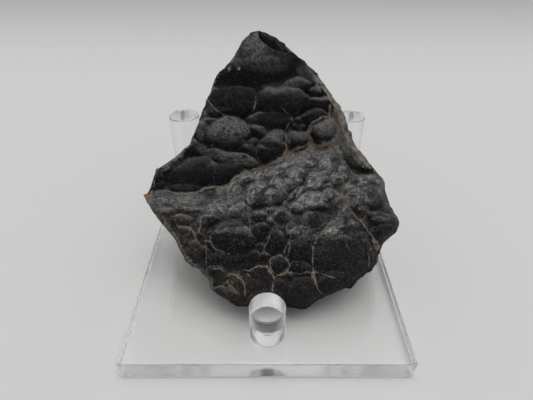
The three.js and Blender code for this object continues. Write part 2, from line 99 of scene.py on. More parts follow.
class Wire:
    """A socket in a node tree that can be added, subtracted and multiplied."""

    def __init__(self, tree, socket):
        self.tree = tree
        self.socket = socket

    def math(self, operation, *values, clamp=False):
        settings = {"operation": operation, "use_clamp": clamp}
        return Shader.add(self.tree, "ShaderNodeMath", settings, *values)

    def __add__(self, other):
        return self.math("ADD", self, other)

    def __sub__(self, other):
        return self.math("SUBTRACT", self, other)

    def __mul__(self, other):
        return self.math("MULTIPLY", self, other)

    def __rsub__(self, other):
        return self.math("SUBTRACT", other, self)

    __radd__ = __add__
    __rmul__ = __mul__

    def clamp(self):
        return self.math("ADD", self, 0.0, clamp=True)

    def between(self, low, high):
        """0 below low, 1 above high and a smooth step from one to the other."""
        return Shader.add(
            self.tree, "ShaderNodeMapRange", {"interpolation_type": "SMOOTHSTEP"},
            self, low, high, 0.0, 1.0,
        )


class Shader:
    """One material's nodes, with its Principled shader and Object coordinates in millimetres."""

    def __init__(self, name):
        self.material = bpy.data.materials.new(name)
        self.material.use_nodes = True
        self.tree = self.material.node_tree
        self.surface = self.tree.nodes["Principled BSDF"]
        place = self.node("ShaderNodeTexCoord", {}, out="Object")
        self.place = self.node("ShaderNodeVectorMath", {"operation": "SCALE"}, place, Scale=1000.0)

    @staticmethod
    def add(tree, kind, settings, *inputs, out=0, **named):
        """A node with its settings made first, then its sockets in order or by name."""
        node = tree.nodes.new(kind)
        for key, value in settings.items():
            setattr(node, key, value)
        for key, value in list(enumerate(inputs)) + list(named.items()):
            socket = node.inputs[key.replace("_", " ") if isinstance(key, str) else key]
            if isinstance(value, Wire):
                tree.links.new(value.socket, socket)
            elif value is not None:
                socket.default_value = value
        return Wire(tree, node.outputs[out])

    def node(self, kind, settings, *inputs, out=0, **named):
        return Shader.add(self.tree, kind, settings, *inputs, out=out, **named)

    def noise(self, size, detail=3.0, rough=0.5, shift=0.0):
        """Cloudy noise from 0 to 1, whose patches are about size millimetres across."""
        return self.node(
            "ShaderNodeTexNoise", {"noise_dimensions": "4D"}, self.place,
            out=0, W=shift, Scale=1.0 / size, Detail=detail, Roughness=rough,
        )

    def mask(self, name):
        """A value that the mesh carries on its points."""
        return self.node("ShaderNodeAttribute", {"attribute_name": name}, out="Fac")

    def mix(self, amount, first, second):
        """A colour between first and second."""
        node = self.tree.nodes.new("ShaderNodeMix")
        node.data_type = "RGBA"
        for key, value in ((0, amount), (6, first), (7, second)):
            if isinstance(value, Wire):
                self.tree.links.new(value.socket, node.inputs[key])
            else:
                node.inputs[key].default_value = value
        return Wire(self.tree, node.outputs[2])

    def set(self, **sockets):
        """Feeds the Principled shader: a Wire is linked and a number or colour is set."""
        for key, value in sockets.items():
            socket = self.surface.inputs[key.replace("_", " ")]
            if isinstance(value, Wire):
                self.tree.links.new(value.socket, socket)
            else:
                socket.default_value = value


floor_mesh = bpy.data.meshes.new("floor")
floor_mesh.from_pydata(
    [(x * FLOOR_HALF, y * FLOOR_HALF, -FLOOR_DROP) for x, y in ((-1, -1), (1, -1), (1, 1), (-1, 1))],
    [], [(0, 1, 2, 3)],
)
floor = bpy.data.objects.new("floor", floor_mesh)
scene.collection.objects.link(floor)
floor_finish = Shader("pale_table")
# The table is painted darker further behind the stand: painted shade for light falling off with distance.
behind = floor_finish.node("ShaderNodeSeparateXYZ", {}, floor_finish.place, out="Y")
floor_painted_falloff = floor_finish.mix(behind.between(*FLOOR_PAINTED_FALLOFF), FLOOR_NEAR, FLOOR_FAR_PAINTED_SHADE)
floor_finish.set(Base_Color=floor_painted_falloff, Roughness=FLOOR_ROUGHNESS)
floor_mesh.materials.append(floor_finish.material)

# The sky is a soft hood of light overhead, a little in front and to the right, in a room
# that is lighter behind the stand than in front of it.
HOOD_PLACE = Vector((0.14, -0.1, 1)).normalized()
HOOD_LIGHT = 4.3
HOOD_TIGHTNESS = 20
DIM_FRONT = 0.44
LIGHT_BACK = 0.66
ROOM_TURNS = (-0.78, 0.2)
SKY_COLOUR = (0.985, 0.99, 1.0, 1)

world = bpy.data.worlds.new("studio")
world.use_nodes = True
sky_tree = world.node_tree
sky = Shader.add(sky_tree, "ShaderNodeTexCoord", {})
toward_hood = Shader.add(
    sky_tree, "ShaderNodeVectorMath", {"operation": "DOT_PRODUCT"},
    sky, HOOD_PLACE, out="Value",
)
toward_back = Shader.add(
    sky_tree, "ShaderNodeVectorMath", {"operation": "DOT_PRODUCT"}, sky, (0, 1, 0), out="Value",
)
hood = toward_hood.math("POWER", toward_hood.math("MAXIMUM", toward_hood, 0.0), HOOD_TIGHTNESS)
room = DIM_FRONT + (LIGHT_BACK - DIM_FRONT) * toward_back.between(*ROOM_TURNS)
brightness = room + HOOD_LIGHT * hood
background = sky_tree.nodes["Background"]
background.inputs["Color"].default_value = SKY_COLOUR
sky_tree.links.new(brightness.socket, background.inputs["Strength"])
scene.world = world
# Plain colours, with the middle tones a little darker than the standard view has them.
scene.view_settings.view_transform = "Standard"
scene.view_settings.gamma = 0.9

# Light crosses the clear plate from edge to edge between its faces, about nine times, and
# reaches the table under it unblurred, so that the plate stays as light as the table.
scene.cycles.max_bounces = 24
scene.cycles.glossy_bounces = 16
scene.cycles.transmission_bounces = 16
scene.cycles.blur_glossy = 0


# ---- Hematite: the rim --------------------------------------------------------
# One broken stone. Its front is a kite seen square on; the rim lies in one plane
# that leans back from level. u runs across the face, v up it and w out of it.

MM = 0.001
FACE_LEAN = math.radians(46)
FACE_FOOT_Y = -30
FACE_FOOT_Z = 11.5

# The rim in four chains of (u, v), each from one corner of the kite to the next.
RIM_TIP_TO_LEFT = (
    (-3.5, 109.2), (-7.3, 107.6), (-10.4, 104.3), (-13.1, 98.9), (-14.5, 95.8), (-18.5, 92), (-21, 88.2),
    (-22.3, 83.2), (-24.9, 78.4), (-25.9, 75), (-27.5, 69.7), (-29.2, 64.7), (-29.9, 62), (-32, 60.4),
    (-34.7, 57), (-36.7, 55.9), (-39.4, 53), (-43, 52.2), (-44, 49), (-44.4, 44), (-44.9, 42.6),
    (-47.5, 42),
)
RIM_LEFT_TO_FOOT = (
    (-47.5, 42), (-46.6, 40.4), (-45.7, 38.7), (-43, 35), (-39.2, 30.7), (-35.4, 25.4), (-33.7, 22),
    (-30.4, 16.7), (-28.4, 14.7), (-25.4, 13.7), (-22, 10), (-20.9, 6.4), (-19.5, 5), (-15, 2.9),
    (-11.7, 0.6), (-6.4, 0.2), (0, 0),
)
RIM_RIGHT_TO_FOOT = (
    (50.4, 30.9), (49.2, 27.7), (45.2, 24.9), (42, 21.3), (41.7, 16.6), (39.7, 14), (35.3, 11.4),
    (32.5, 8), (29.7, 6.8), (24.2, 4.6), (19.8, 2.9), (16.2, 0.5), (13, -0.7), (7.1, 0.1), (0, 0),
)
RIM_TIP_TO_RIGHT = (
    (-3.5, 109.2), (0.4, 107.2), (3.8, 106), (7.3, 102.6), (12.3, 98), (16.1, 94.1), (19.6, 90.1),
    (23.8, 85.1), (26.4, 80.4), (29.1, 77.1), (32.3, 68.1), (34.1, 62.1), (37.3, 57.3), (40.9, 53.3),
    (42.5, 50.5), (44.6, 48.1), (45.2, 45.7), (45.6, 40.6), (47.6, 36.6), (49.8, 33.6), (50.4, 30.9),
)


def smooth_step(x, low, high):
    """0 below low, 1 above high, and 3t^2 - 2t^3 of the share t between."""
    t = np.clip((x - low) / (high - low), 0, 1)
    return t * t * (3 - 2 * t)


def fall_off(x, full, none):
    """1 below full, 0 above none, and the same smooth step between."""
    return smooth_step(-x, -none, -full)


def lattice_value(i, j):
    """A fixed pseudo-random number from 0 to 1 for each lattice point."""
    s = np.sin(i * 127.1 + j * 311.7) * 43758.5453
    return s - np.floor(s)


def noise(x, y):
    """Lattice values blended with smooth steps between the four nearest points."""
    i = np.floor(x)
    j = np.floor(y)
    a = smooth_step(x - i, 0, 1)
    b = smooth_step(y - j, 0, 1)
    low = lattice_value(i, j) * (1 - a) + lattice_value(i + 1, j) * a
    high = lattice_value(i, j + 1) * (1 - a) + lattice_value(i + 1, j + 1) * a
    return low * (1 - b) + high * b


RIM_SOFTEN = 0.9
RIM_SOFTEN_IN = 2
RIM_RAGGED = 0.55
RIM_RAGGED_IN = 3
NOTCH_SIZE, NOTCH_SHARE = 2.1, 0.7
NICK_SIZE, NICK_SHARE = 0.9, 0.3
FIVE_STEPS = (-1, -0.5, 0, 0.5, 1)


def walk(chain, t):
    """The points at shares t of the way along a chain at an even pace. Each is the mean of
    five places within RIM_SOFTEN of it, so corners are eased, and is pushed about by up to
    RIM_RAGGED of noise, so the edge is ragged. Both fade out at the chain's two ends."""
    points = np.array(chain, float)
    paces = np.hypot(*np.diff(points, axis=0).T)
    reached = np.concatenate(([0], np.cumsum(paces)))
    length = reached[-1]
    place = t * length
    from_end = np.minimum(place, length - place)
    ease = RIM_SOFTEN * np.clip(from_end / RIM_SOFTEN_IN, 0, 1)
    fade = RIM_RAGGED * smooth_step(from_end, 0, RIM_RAGGED_IN)
    salt = points[0, 0] + points[-1, 1]
    walked = []
    for k in (0, 1):
        mean = sum(np.interp(place + ease * step, reached, points[:, k]) for step in FIVE_STEPS) / 5
        row = np.full(place.shape, 9 * k)
        notch = NOTCH_SHARE * noise(place / NOTCH_SIZE + salt, row)
        nick = NICK_SHARE * noise(place / NICK_SIZE + salt, row + 4)
        walked.append(mean + 2 * fade * (notch + nick - 0.5))
    return np.stack(walked, -1)


def face_points(p, q):
    """The patch between the four rim chains: p runs tip to left, q runs tip to right. It is
    the two straight blends of opposite chains, less the straight blend of the corners."""
    a = p[..., None]
    b = q[..., None]
    tip, left = np.array(RIM_TIP_TO_LEFT[0]), np.array(RIM_TIP_TO_LEFT[-1])
    right, foot = np.array(RIM_TIP_TO_RIGHT[-1]), np.array(RIM_LEFT_TO_FOOT[-1])
    sides = walk(RIM_TIP_TO_LEFT, p) * (1 - b) + walk(RIM_RIGHT_TO_FOOT, p) * b
    sides = sides + walk(RIM_TIP_TO_RIGHT, q) * (1 - a) + walk(RIM_LEFT_TO_FOOT, q) * a
    corners = (tip * (1 - a) + left * a) * (1 - b) + (right * (1 - a) + foot * a) * b
    patch = sides - corners
    return patch[..., 0], patch[..., 1]


def distance_to_line(chain, u, v):
    """Shortest distance from each point to a chain of straight lines."""
    nearest = np.full(np.shape(u), np.inf)
    for (u0, v0), (u1, v1) in zip(chain[:-1], chain[1:]):
        along = ((u - u0) * (u1 - u0) + (v - v0) * (v1 - v0)) / ((u1 - u0) ** 2 + (v1 - v0) ** 2)
        t = np.clip(along, 0, 1)
        nearest = np.minimum(nearest, np.hypot(u - u0 - t * (u1 - u0), v - v0 - t * (v1 - v0)))
    return nearest


def distance_to_rim(u, v):
    """Shortest distance from each point of the face to its rim."""
    chains = (RIM_TIP_TO_LEFT, RIM_LEFT_TO_FOOT, RIM_RIGHT_TO_FOOT, RIM_TIP_TO_RIGHT)
    return np.minimum.reduce([distance_to_line(chain, u, v) for chain in chains])


# ---- Hematite: the lumpy front ------------------------------------------------
# The crust grew as round lumps that ran into each other, over a face with a deep
# valley across it, a shelf below the valley and a broken block at the tip.

VALLEY = (
    (-46.4, 43.6), (-28.3, 43.5), (-25.1, 45.7), (-17.5, 45.9), (-10.3, 51.2), (0, 54.1), (8.3, 59.3),
    (16.5, 63), (20.8, 61.7), (27.4, 64), (30.2, 58.6), (32.5, 53), (36.6, 51), (46.7, 50.6),
)
CREST = (
    (-45, 38.5), (-30, 37), (-15, 32), (0, 30), (30, 30), (38, 34), (45, 35), (50, 33),
)
VALLEY_LEVEL = -5
VALLEY_LIFT = 2.5
VALLEY_LIFTS = (-14, 10)
CREST_LEVEL = 6
CREST_DROP = 3.5
CREST_DROPS = (14, 34)
UPPER_RISE = 3
UPPER_EASE = 10
TIP_FOOT, TIP_BROW, TIP_RISE, TIP_END = 84.5, 95, 5.5, 109
TIP_FALL, TIP_ROUND, TIP_POWER = 4, 4, 1.8
LOWER_FALL, LOWER_POWER = 0.7, 1.4
RIM_ROLL = 2
LUMP_OVERLAP = 1.2
LUMP_ROUNDNESS = 0.6

# Each lump is (u, v, half width, half height, turn in degrees, rise).
LUMPS = (
    (-13.3, 79, 8.9, 5.2, 0, 5), (5.3, 79.6, 9.8, 5.2, 2, 5.2), (0.8, 71.2, 8, 4, -4, 4.2),
    (11.8, 86.2, 4.8, 3, 15, 3.6), (15.3, 86.2, 2, 2.3, 0, 4.2), (19, 83.4, 2.6, 2.4, 0, 3),
    (20.3, 78.6, 4.6, 2.4, 0, 3), (18.2, 73.2, 5, 2.9, 8, 3.3), (-22, 75.8, 3.2, 2.6, -35, 2.2),
    (12.4, 71.3, 1.9, 2, 0, 2), (12.2, 69, 3, 1.5, 0, 1.6), (-22.5, 71.6, 3, 1.5, 0, 1.8),
    (-17.5, 81, 4.6, 4.6, 0, 4.6), (-8.6, 80.6, 4, 4.8, 0, 4.7), (2.6, 61.6, 4.6, 4.8, 0, 4.6),
    (-15.5, 66.4, 7.4, 6, 0, 5), (-26.3, 67, 3, 4, 0, 2.5), (-3.6, 67.6, 5, 2.1, -22, 3.2),
    (-9.5, 61, 2.8, 1.8, 15, 1.8), (-5, 62.5, 2.4, 2.2, 0, 1.8), (3.4, 64.4, 3.9, 3.2, 0, 3.6),
    (0.9, 58.7, 5.2, 3.9, 4, 4.5), (11.9, 63.9, 3.8, 3.5, 0, 4), (22.5, 66.6, 4.9, 5, 0, 5),
    (-28, 61, 4, 2.4, -25, 2.2), (-22, 58.4, 1.4, 1.4, 0, 1.1), (-15.5, 57.6, 7.4, 2.1, -9, 2.6),
    (-8.5, 54.3, 5, 2.4, -18, 2.2), (-28, 49.5, 9.5, 6.4, 14, 3.6), (-16.5, 50.2, 7, 4.6, 20, 3.2),
    (-37, 51, 3, 4, -30, 2.2), (-42, 47.5, 2.2, 4, 0, 2), (35.3, 55.4, 6.6, 3, -42, 2.6),
    (-38.8, 41.2, 3.8, 2, 0, 1.2), (-30, 40.4, 5.4, 2.2, 0, 1), (-21.5, 43.2, 3.2, 1.8, -10, 1.2),
    (-14.5, 44.8, 4, 3.6, 25, 1.6), (-8.6, 47.8, 3.6, 2.8, 15, 2), (-13.5, 40.5, 3.4, 3, 0, 1.2),
    (-4.6, 41.8, 4, 4.4, -5, 2.6), (3.4, 46, 2.8, 2.6, 20, 1.8), (8.6, 45.6, 2.2, 2.6, 0, 1.9),
    (2.6, 41, 3.4, 3, -10, 2.4), (-1, 50, 4.6, 2.4, 15, 1.2), (5.5, 52.5, 4, 2.6, 25, 1),
    (11.3, 49.6, 3.4, 3.6, 10, 2.3), (16.6, 55.5, 3.6, 2.4, 25, 1.4), (12, 55.5, 3, 2.2, 20, 1.2),
    (23.6, 54, 3, 3.4, 0, 1.7), (18.6, 47.2, 3.6, 3, 12, 2.2), (22.8, 49, 2, 2.4, 0, 1.7),
    (26.8, 47.8, 2.2, 2.2, 0, 1.5), (29.8, 50.4, 2, 2.8, 0, 1.6), (37.5, 47.3, 5.8, 2.8, -8, 1.6),
    (32, 44.2, 2.4, 2.4, 0, 1.2), (9.7, 41.6, 1.2, 2.4, -38, 1.5), (12.9, 42.7, 1.2, 2.8, -35, 1.6),
    (17.6, 40.1, 5.4, 2.9, 2, 2.8), (24, 41.8, 2.4, 2.4, -30, 1.8), (11.6, 36.8, 2.4, 2.2, 0, 2.2),
    (5.4, 34.2, 2.6, 2.8, 10, 2), (17.8, 32, 4.2, 3.8, 0, 1.4), (34.6, 39.8, 4, 4.2, 0, 3),
    (40.5, 41.5, 4, 4.6, 0, 2.8), (-19.5, 37.6, 3.8, 3.6, 0, 1.4), (-11.5, 36, 3.4, 3.2, 10, 1.5),
    (-21.5, 32.5, 3.6, 2.2, 0, 1.4), (-29.5, 36.7, 4.6, 1.1, 4, 1.1), (1.5, 36.6, 1.8, 1.6, 0, 1),
    (-3, 34.4, 3.2, 2.4, 0, 1.6), (30.6, 34.6, 1.8, 3.2, 15, 1.2), (43.5, 33.4, 5.6, 2.4, -6, 2.4),
    (44.5, 28.3, 4.6, 2.8, 20, 2.3), (34.5, 28.8, 4, 3.6, 0, 2.2), (25.5, 27.6, 4.6, 2, 12, 1.9),
    (13.5, 28, 3.6, 2, -5, 1.8), (9.2, 27.9, 1.2, 1.3, 0, 1.6), (1.3, 31.8, 1.6, 1.6, 0, 1.4),
    (-13.5, 25.4, 8, 5.8, -5, 3.6), (-3, 28.2, 2.9, 3.2, 0, 2.2), (3.6, 24, 3, 3.9, 5, 2.2),
    (12.5, 21, 4.4, 4.2, 0, 2.1), (27, 19.5, 9.2, 6, -3, 2.7), (37.5, 19.5, 2.8, 4, 10, 1.6),
    (4.5, 15.2, 3, 3.2, 0, 1.5), (-2.8, 22.3, 1.9, 1.7, 0, 1.3), (-1.6, 18.2, 2.1, 1.8, 0, 1.3),
    (-5, 18.4, 2, 1.9, 0, 1.2), (-19.3, 17.6, 3.8, 2.3, 0, 1.6), (-12.3, 17.2, 4.2, 2.5, 0, 1.6),
    (-24.8, 19, 2.4, 3, 15, 1.3), (-28, 22.3, 2.2, 2.4, 0, 1.2), (-19.8, 11.8, 3.6, 2.6, 0, 1.5),
    (-2.5, 12, 3.2, 2.7, 0, 1.3), (12.8, 14.8, 3.9, 2.2, -5, 1.3), (8, 10.6, 2.4, 1.5, -15, 0.9),
    (6.3, 6.8, 4.2, 3.2, 0, 1.5), (-5, 6.5, 4.2, 3.2, 0, 1.1), (13.5, 5.8, 5, 4.6, 0, 1.9),
    (26, 9.2, 7, 3.6, 22, 1.9), (34.3, 14, 3.8, 2.5, 25, 1.3), (-15, 4.4, 4.6, 2.2, -15, 1.4),
    (0, 2.6, 5.5, 3.4, 0, 4), (-38, 36.3, 4, 1.3, -8, 1.3), (-32, 33, 3.5, 1.8, -10, 1.4),
    (-31, 28, 3.2, 1.6, -15, 1.2),
)

# Each scoop or pit is (u, v, half width, half height, turn in degrees, depth).
HOLLOWS = (
    (19.5, 35.8, 4.6, 1.3, -3, 2.4), (17.6, 32.6, 2.8, 2.2, 0, 1.4), (7, 66.7, 1.3, 1.3, 0, 1.2),
    (-24.4, 25.4, 2.4, 1.8, 30, 1.8), (15.5, 96.5, 3, 1.2, -45, 1), (-12.3, 93.6, 2, 1.8, 20, 1.4),
    (-6, 100.8, 2.2, 1, 35, 0.5), (-9.6, 102.3, 1.4, 0.7, -40, 0.9),
)

# Each chip is a flat cut: (u, v) on its edge, the way it falls in degrees, its slope and reach.
CHIPS = (
    (-11.5, 101.5, 150, 0.7, 2.5), (-17, 91, 165, 0.5, 4),
)
CHIP_ENDS = (0.8, 1.3)

# The tip has one glossy shell-shaped break on its right: an ellipse as above. Its floor
# lies deep along the lower edge and slopes up to the rim.
SHELL_BREAK = (4.1, 103.8, 8.6, 4.6, -35)
SHELL_DEPTH = 0.8
SHELL_SLOPE = 0.6
SHELL_LIP = 0.6
SHELL_EDGE = (0.9, 1.1)


def chipped(u, v):
    """Depth of the flat cuts: slope x distance past each cut's edge, faded out at its reach."""
    total = np.zeros(np.shape(u))
    for u0, v0, way, slope, reach in CHIPS:
        turn = math.radians(way)
        past = (u - u0) * math.cos(turn) + (v - v0) * math.sin(turn)
        aside = (v - v0) * math.cos(turn) - (u - u0) * math.sin(turn)
        ends = fall_off(np.abs(aside), reach * CHIP_ENDS[0], reach * CHIP_ENDS[1])
        total = total + slope * np.maximum(past, 0) * ends
    return total


def in_ellipse(shape, u, v, grow=1.0):
    """Squared distance from the ellipse's centre, in units of its own half widths."""
    turn = math.radians(shape[4])
    along = (u - shape[0]) * math.cos(turn) + (v - shape[1]) * math.sin(turn)
    across = (v - shape[1]) * math.cos(turn) - (u - shape[0]) * math.sin(turn)
    return (along / (shape[2] * grow)) ** 2 + (across / (shape[3] * grow)) ** 2


def shell_break(u, v):
    """1 inside the tip's glossy break and 0 outside it, with a sharp edge."""
    return fall_off(in_ellipse(SHELL_BREAK, u, v), *SHELL_EDGE)


def shell_floor(u, v):
    """Depth of the glossy break: less and less across it, from its lower edge to the rim."""
    turn = math.radians(SHELL_BREAK[4])
    across = (v - SHELL_BREAK[1]) * math.cos(turn) - (u - SHELL_BREAK[0]) * math.sin(turn)
    return shell_break(u, v) * np.maximum(SHELL_DEPTH - SHELL_SLOPE * across, -SHELL_LIP)


def curve_over(chain, u, blur=1.2):
    """The chain's v over u, averaged over five places within blur so that it has no corners."""
    points = np.array(chain, float)
    shifts = blur * np.array(FIVE_STEPS)
    return sum(np.interp(u + shift, points[:, 0], points[:, 1]) for shift in shifts) / len(shifts)


def face_ground(u, v):
    """The large shape. Above the valley it climbs by an exponential approach and then steps
    up on to the tip block; from valley to crest it rises by half a line and half a sine;
    below the crest it falls away by a power of the share of the way down. The valley is
    shallower on the right and the crest is lower on the left."""
    valley = curve_over(VALLEY, u)
    crest = curve_over(CREST, u)
    bottom = VALLEY_LEVEL + VALLEY_LIFT * smooth_step(u, *VALLEY_LIFTS)
    top = CREST_LEVEL - CREST_DROP * smooth_step(-u, *CREST_DROPS)
    climb = UPPER_RISE * (1 - np.exp(-np.maximum(v - valley, 0) / UPPER_EASE))
    tip = TIP_RISE * smooth_step(v, TIP_FOOT, TIP_BROW)
    over = np.clip((v - TIP_BROW + TIP_ROUND) / (TIP_END - TIP_BROW + TIP_ROUND), 0, 1)
    fall = TIP_FALL * over ** TIP_POWER
    upper = bottom + climb + tip - fall - shell_floor(u, v)
    t = np.clip((valley - v) / (valley - crest), 0, 1)
    shelf = bottom + (top - bottom) * (0.5 * t + 0.5 * np.sin(np.pi / 2 * t))
    s = np.clip((crest - v) / crest, 0, 1)
    lower = top * (1 - LOWER_FALL * s ** LOWER_POWER)
    return np.where(v >= valley, upper, np.where(v >= crest, shelf, lower))


# The lumps' places are as seen by a viewer in front, whose eye is at this spot over the face.
EYE_U, EYE_V, EYE_W = -1.2, 21.2, 151.8


def as_seen(u, v, w):
    """Where a point w above the rim's plane seems to lie in that plane from the eye."""
    grow = w / (EYE_W - w)
    return u + (u - EYE_U) * grow, v + (v - EYE_V) * grow


def wander(u, v, size, reach):
    """Places shifted by up to reach each way by slow noise, so that outlines are wavy."""
    wave_u = noise(u / size + 11, v / size) - 0.5
    wave_v = noise(u / size, v / size + 23) - 0.5
    return u + 2 * reach * wave_u, v + 2 * reach * wave_v


SHELF_STARTS = (-0.2, 1.2)
SHELF_ENDS = (1, 5)


def on_shelf(u, v):
    """1 on the shelf between the valley and a little below the crest, 0 elsewhere."""
    past_valley = smooth_step(curve_over(VALLEY, u) - v, *SHELF_STARTS)
    return past_valley * fall_off(curve_over(CREST, u) - v, *SHELF_ENDS)


WAVE_SIZE = 4.2
WAVE_REACH = 0.9
TYPICAL_RISE = 1.5
FILL_SPACING = 4.3
FILL_RISE = 0.4
FILL_STARTS = (0.5, 2)
BEAD_EDGE, BEAD_JITTER, BEAD_WIDTH = 0.15, 0.7, 0.75


def highest_lumps(u, v):
    """The highest and second highest lump over each point. A lump is rise x (1 - r^2)^k
    over an ellipse, so neighbours meet in a sharp groove. The places are carried to the
    ground along the line of sight and made wavy. Below the valley small lumps fill the gaps."""
    filled = smooth_step(curve_over(VALLEY, u) - v, *FILL_STARTS)
    u, v = as_seen(u, v, face_ground(u, v) + TYPICAL_RISE)
    u, v = wander(u, v, WAVE_SIZE, WAVE_REACH)
    first = FILL_RISE * filled * np.maximum(beads(u, v, FILL_SPACING), 0)
    second = np.zeros(np.shape(u))
    for lump in LUMPS:
        r2 = in_ellipse(lump, u, v, LUMP_OVERLAP)
        height = lump[5] * np.maximum(1 - r2, 0) ** LUMP_ROUNDNESS
        second = np.maximum(second, np.minimum(first, height))
        first = np.maximum(first, height)
    return first, second


def beads(u, v, spacing):
    """Small round beads from 0 to 1: one at a shifted place in each lattice cell, each a cap
    of 1 - (distance / width)^2, and the highest counts."""
    x = u / spacing
    y = v / spacing
    best = np.zeros(np.shape(u))
    for di in (-1, 0, 1):
        for dj in (-1, 0, 1):
            i = np.floor(x) + di
            j = np.floor(y) + dj
            centre_x = i + BEAD_EDGE + BEAD_JITTER * lattice_value(i, j)
            centre_y = j + BEAD_EDGE + BEAD_JITTER * lattice_value(i + 31, j + 17)
            apart = (x - centre_x) ** 2 + (y - centre_y) ** 2
            best = np.maximum(best, 1 - apart / BEAD_WIDTH ** 2)
    return best


TILT_STEP = 0.3


def tilt_towards(way_u, way_v, u, v):
    """How steeply the ground and the lumps fall away that way: the height a step before
    less the height a step after, over the two steps."""
    heights = []
    for step in (-TILT_STEP, TILT_STEP):
        near_u = u + step * way_u
        near_v = v + step * way_v
        heights.append(face_ground(near_u, near_v) + highest_lumps(near_u, near_v)[0])
    return (heights[0] - heights[1]) / (2 * TILT_STEP)


# Places where the crust is grainy with tiny beads: ellipses as above, with a weight.
GRAINY = (
    (-16, 67, 8, 5, 0, 1), (-17, 37, 9, 7, 0, 1), (3, 43, 12, 9, 10, 1), (17, 51, 14, 6, 20, 0.6),
    (12, 33, 14, 5, 0, 1), (22, 40, 9, 4, 0, 0.8), (-4, 30, 8, 6, 0, 0.7), (5, 28, 6, 5, 0, 0.8),
    (34, 38, 6, 5, 0, 0.5), (-14, 56, 8, 3, -8, 0.6), (-27, 66, 4, 5, 0, 0.6), (30, 33, 4, 5, 20, 0.8),
)
# Places where the crust is broken off and rusty brown.
BROKEN = (
    (-32, 30.5, 7, 5, -30, 1), (-27, 24, 5, 5, -40, 0.9), (-38, 36, 6, 2.4, -12, 0.9),
    (-12, 9, 5.5, 5, -20, 0.9), (-36, 54.4, 5, 1.4, 38, 0.5), (18.5, 88, 2.2, 3.5, 30, 0.7),
    (47, 32, 3.5, 3, 0, 0.7), (-25.5, 74, 2.4, 3, 0, 0.7), (-8, 4, 4, 3, 0, 0.5),
    (-25, 14.5, 5, 2.4, -35, 0.5),
)


ELLIPSE_EDGE = (0.4, 1.6)


def weight(places, u, v):
    """How far each point lies in a set of soft-edged ellipses, from 0 to the weight."""
    total = np.zeros(np.shape(u))
    for place in places:
        total = np.maximum(total, place[5] * fall_off(in_ellipse(place, u, v), *ELLIPSE_EDGE))
    return total


# Cracks: a chain of (u, v), then its width and depth.
CRACKS = (
    (((-43, 38.2), (-41, 37), (-39.5, 36.8), (-38, 37.7), (-36, 37), (-34.6, 35.6)), 0.5, 1),
    (((-38.5, 34.2), (-36.5, 34.9), (-34.5, 35), (-32, 34.7), (-28, 34.9), (-25.4, 34.7)), 0.5, 1),
    (((9.3, 45.2), (11.5, 45), (13.6, 45.8), (15.1, 47.6), (14.9, 49.4)), 0.5, 0.9),
    (((16, 43.8), (18, 43.5), (20, 43.7), (23, 44.6), (25.5, 44.6)), 0.5, 0.9),
    (((17.4, 43), (17.7, 41), (17.5, 38.6)), 0.35, 0.8),
    (((6.2, 41.5), (7.1, 40.4), (7.3, 39.2)), 0.6, 1),
    (((0.4, 39), (1.4, 38.1), (3, 37.8), (5, 38.4), (6.4, 39.8)), 0.4, 0.6),
    (((-8, 38.4), (-6.5, 37.4), (-4, 36.8), (-1.5, 36.9), (0, 37.5)), 0.35, 0.6),
    (((-35, 30.4), (-31.5, 30.6), (-29.8, 30)), 0.5, 0.9),
    (((-34.5, 27.6), (-32, 26.7), (-30.5, 27)), 0.45, 0.8),
)


# A low band of broken stone runs just inside the upper right rim.
BAND_RISE, BAND_INSET, BAND_HALF = 1.8, 2.6, 1.2
BAND_RIGHT, BAND_UP = (6, 10), (48, 52)
GRAIN_RISE, GRAIN_SIZE = 0.32, 1.7
BEAD_RISE, BEAD_SIZE = 0.24, 1.8
FINE_BEAD_RISE, FINE_BEAD_SIZE = 0.16, 0.9
BEAD_SINK = 0.2
# Broken ledges are longer across the face than up it.
LEDGE_RISE, LEDGE_SINK = 1.3, 0.4
LEDGE_LONG, LEDGE_SHORT = 2.3, 1.5
SPLINTER_LONG, SPLINTER_SHORT = 1.1, 0.8
RIM_LEDGES, RIM_LEDGES_IN, RIM_LEDGES_FROM = 0.6, (1.2, 3.2), 50


def front_height(u, v):
    """How far the front stands out of the rim's plane: the ground, the highest lump, less the
    scoops and cracks, plus beads and broken ledges, all rolled down to nothing at the rim."""
    inside = distance_to_rim(u, v)
    lump, _ = highest_lumps(u, v)
    scoop = sum(one[5] * np.maximum(1 - in_ellipse(one, u, v), 0) for one in HOLLOWS)
    crack = sum(
        depth * np.exp(-(distance_to_line(chain, u, v) / width) ** 2) for chain, width, depth in CRACKS
    )
    band = BAND_RISE * np.exp(-((inside - BAND_INSET) / BAND_HALF) ** 2)
    band = band * smooth_step(u, *BAND_RIGHT) * smooth_step(v, *BAND_UP)
    grain = GRAIN_RISE * (noise(u / GRAIN_SIZE, v / GRAIN_SIZE) - 0.5)
    bead = BEAD_RISE * beads(u, v, BEAD_SIZE) + FINE_BEAD_RISE * beads(u + 40, v, FINE_BEAD_SIZE)
    bead = weight(GRAINY, u, v) * (bead - BEAD_SINK)
    shard = weight(BROKEN, u, v) + RIM_LEDGES * fall_off(inside, *RIM_LEDGES_IN) * (v > RIM_LEDGES_FROM)
    ledges = np.abs(noise(u / LEDGE_LONG + 9, v / LEDGE_SHORT) - 0.5)
    splinters = 0.5 * np.abs(noise(u / SPLINTER_LONG, v / SPLINTER_SHORT + 5) - 0.5)
    shard = shard * (LEDGE_RISE * (ledges + splinters) - LEDGE_SINK)
    roll = 1 - np.exp(-inside / RIM_ROLL)
    large = face_ground(u, v) + lump - scoop - chipped(u, v)
    return roll * (large - crack + grain + bead + shard) + band


# ---- Hematite: the broken back ------------------------------------------------
# The back is broken along a few flat faces: a flat seat, an underside that leans on
# nothing, a long face up to the thin tip, and two flanks that rest on the tall pegs.

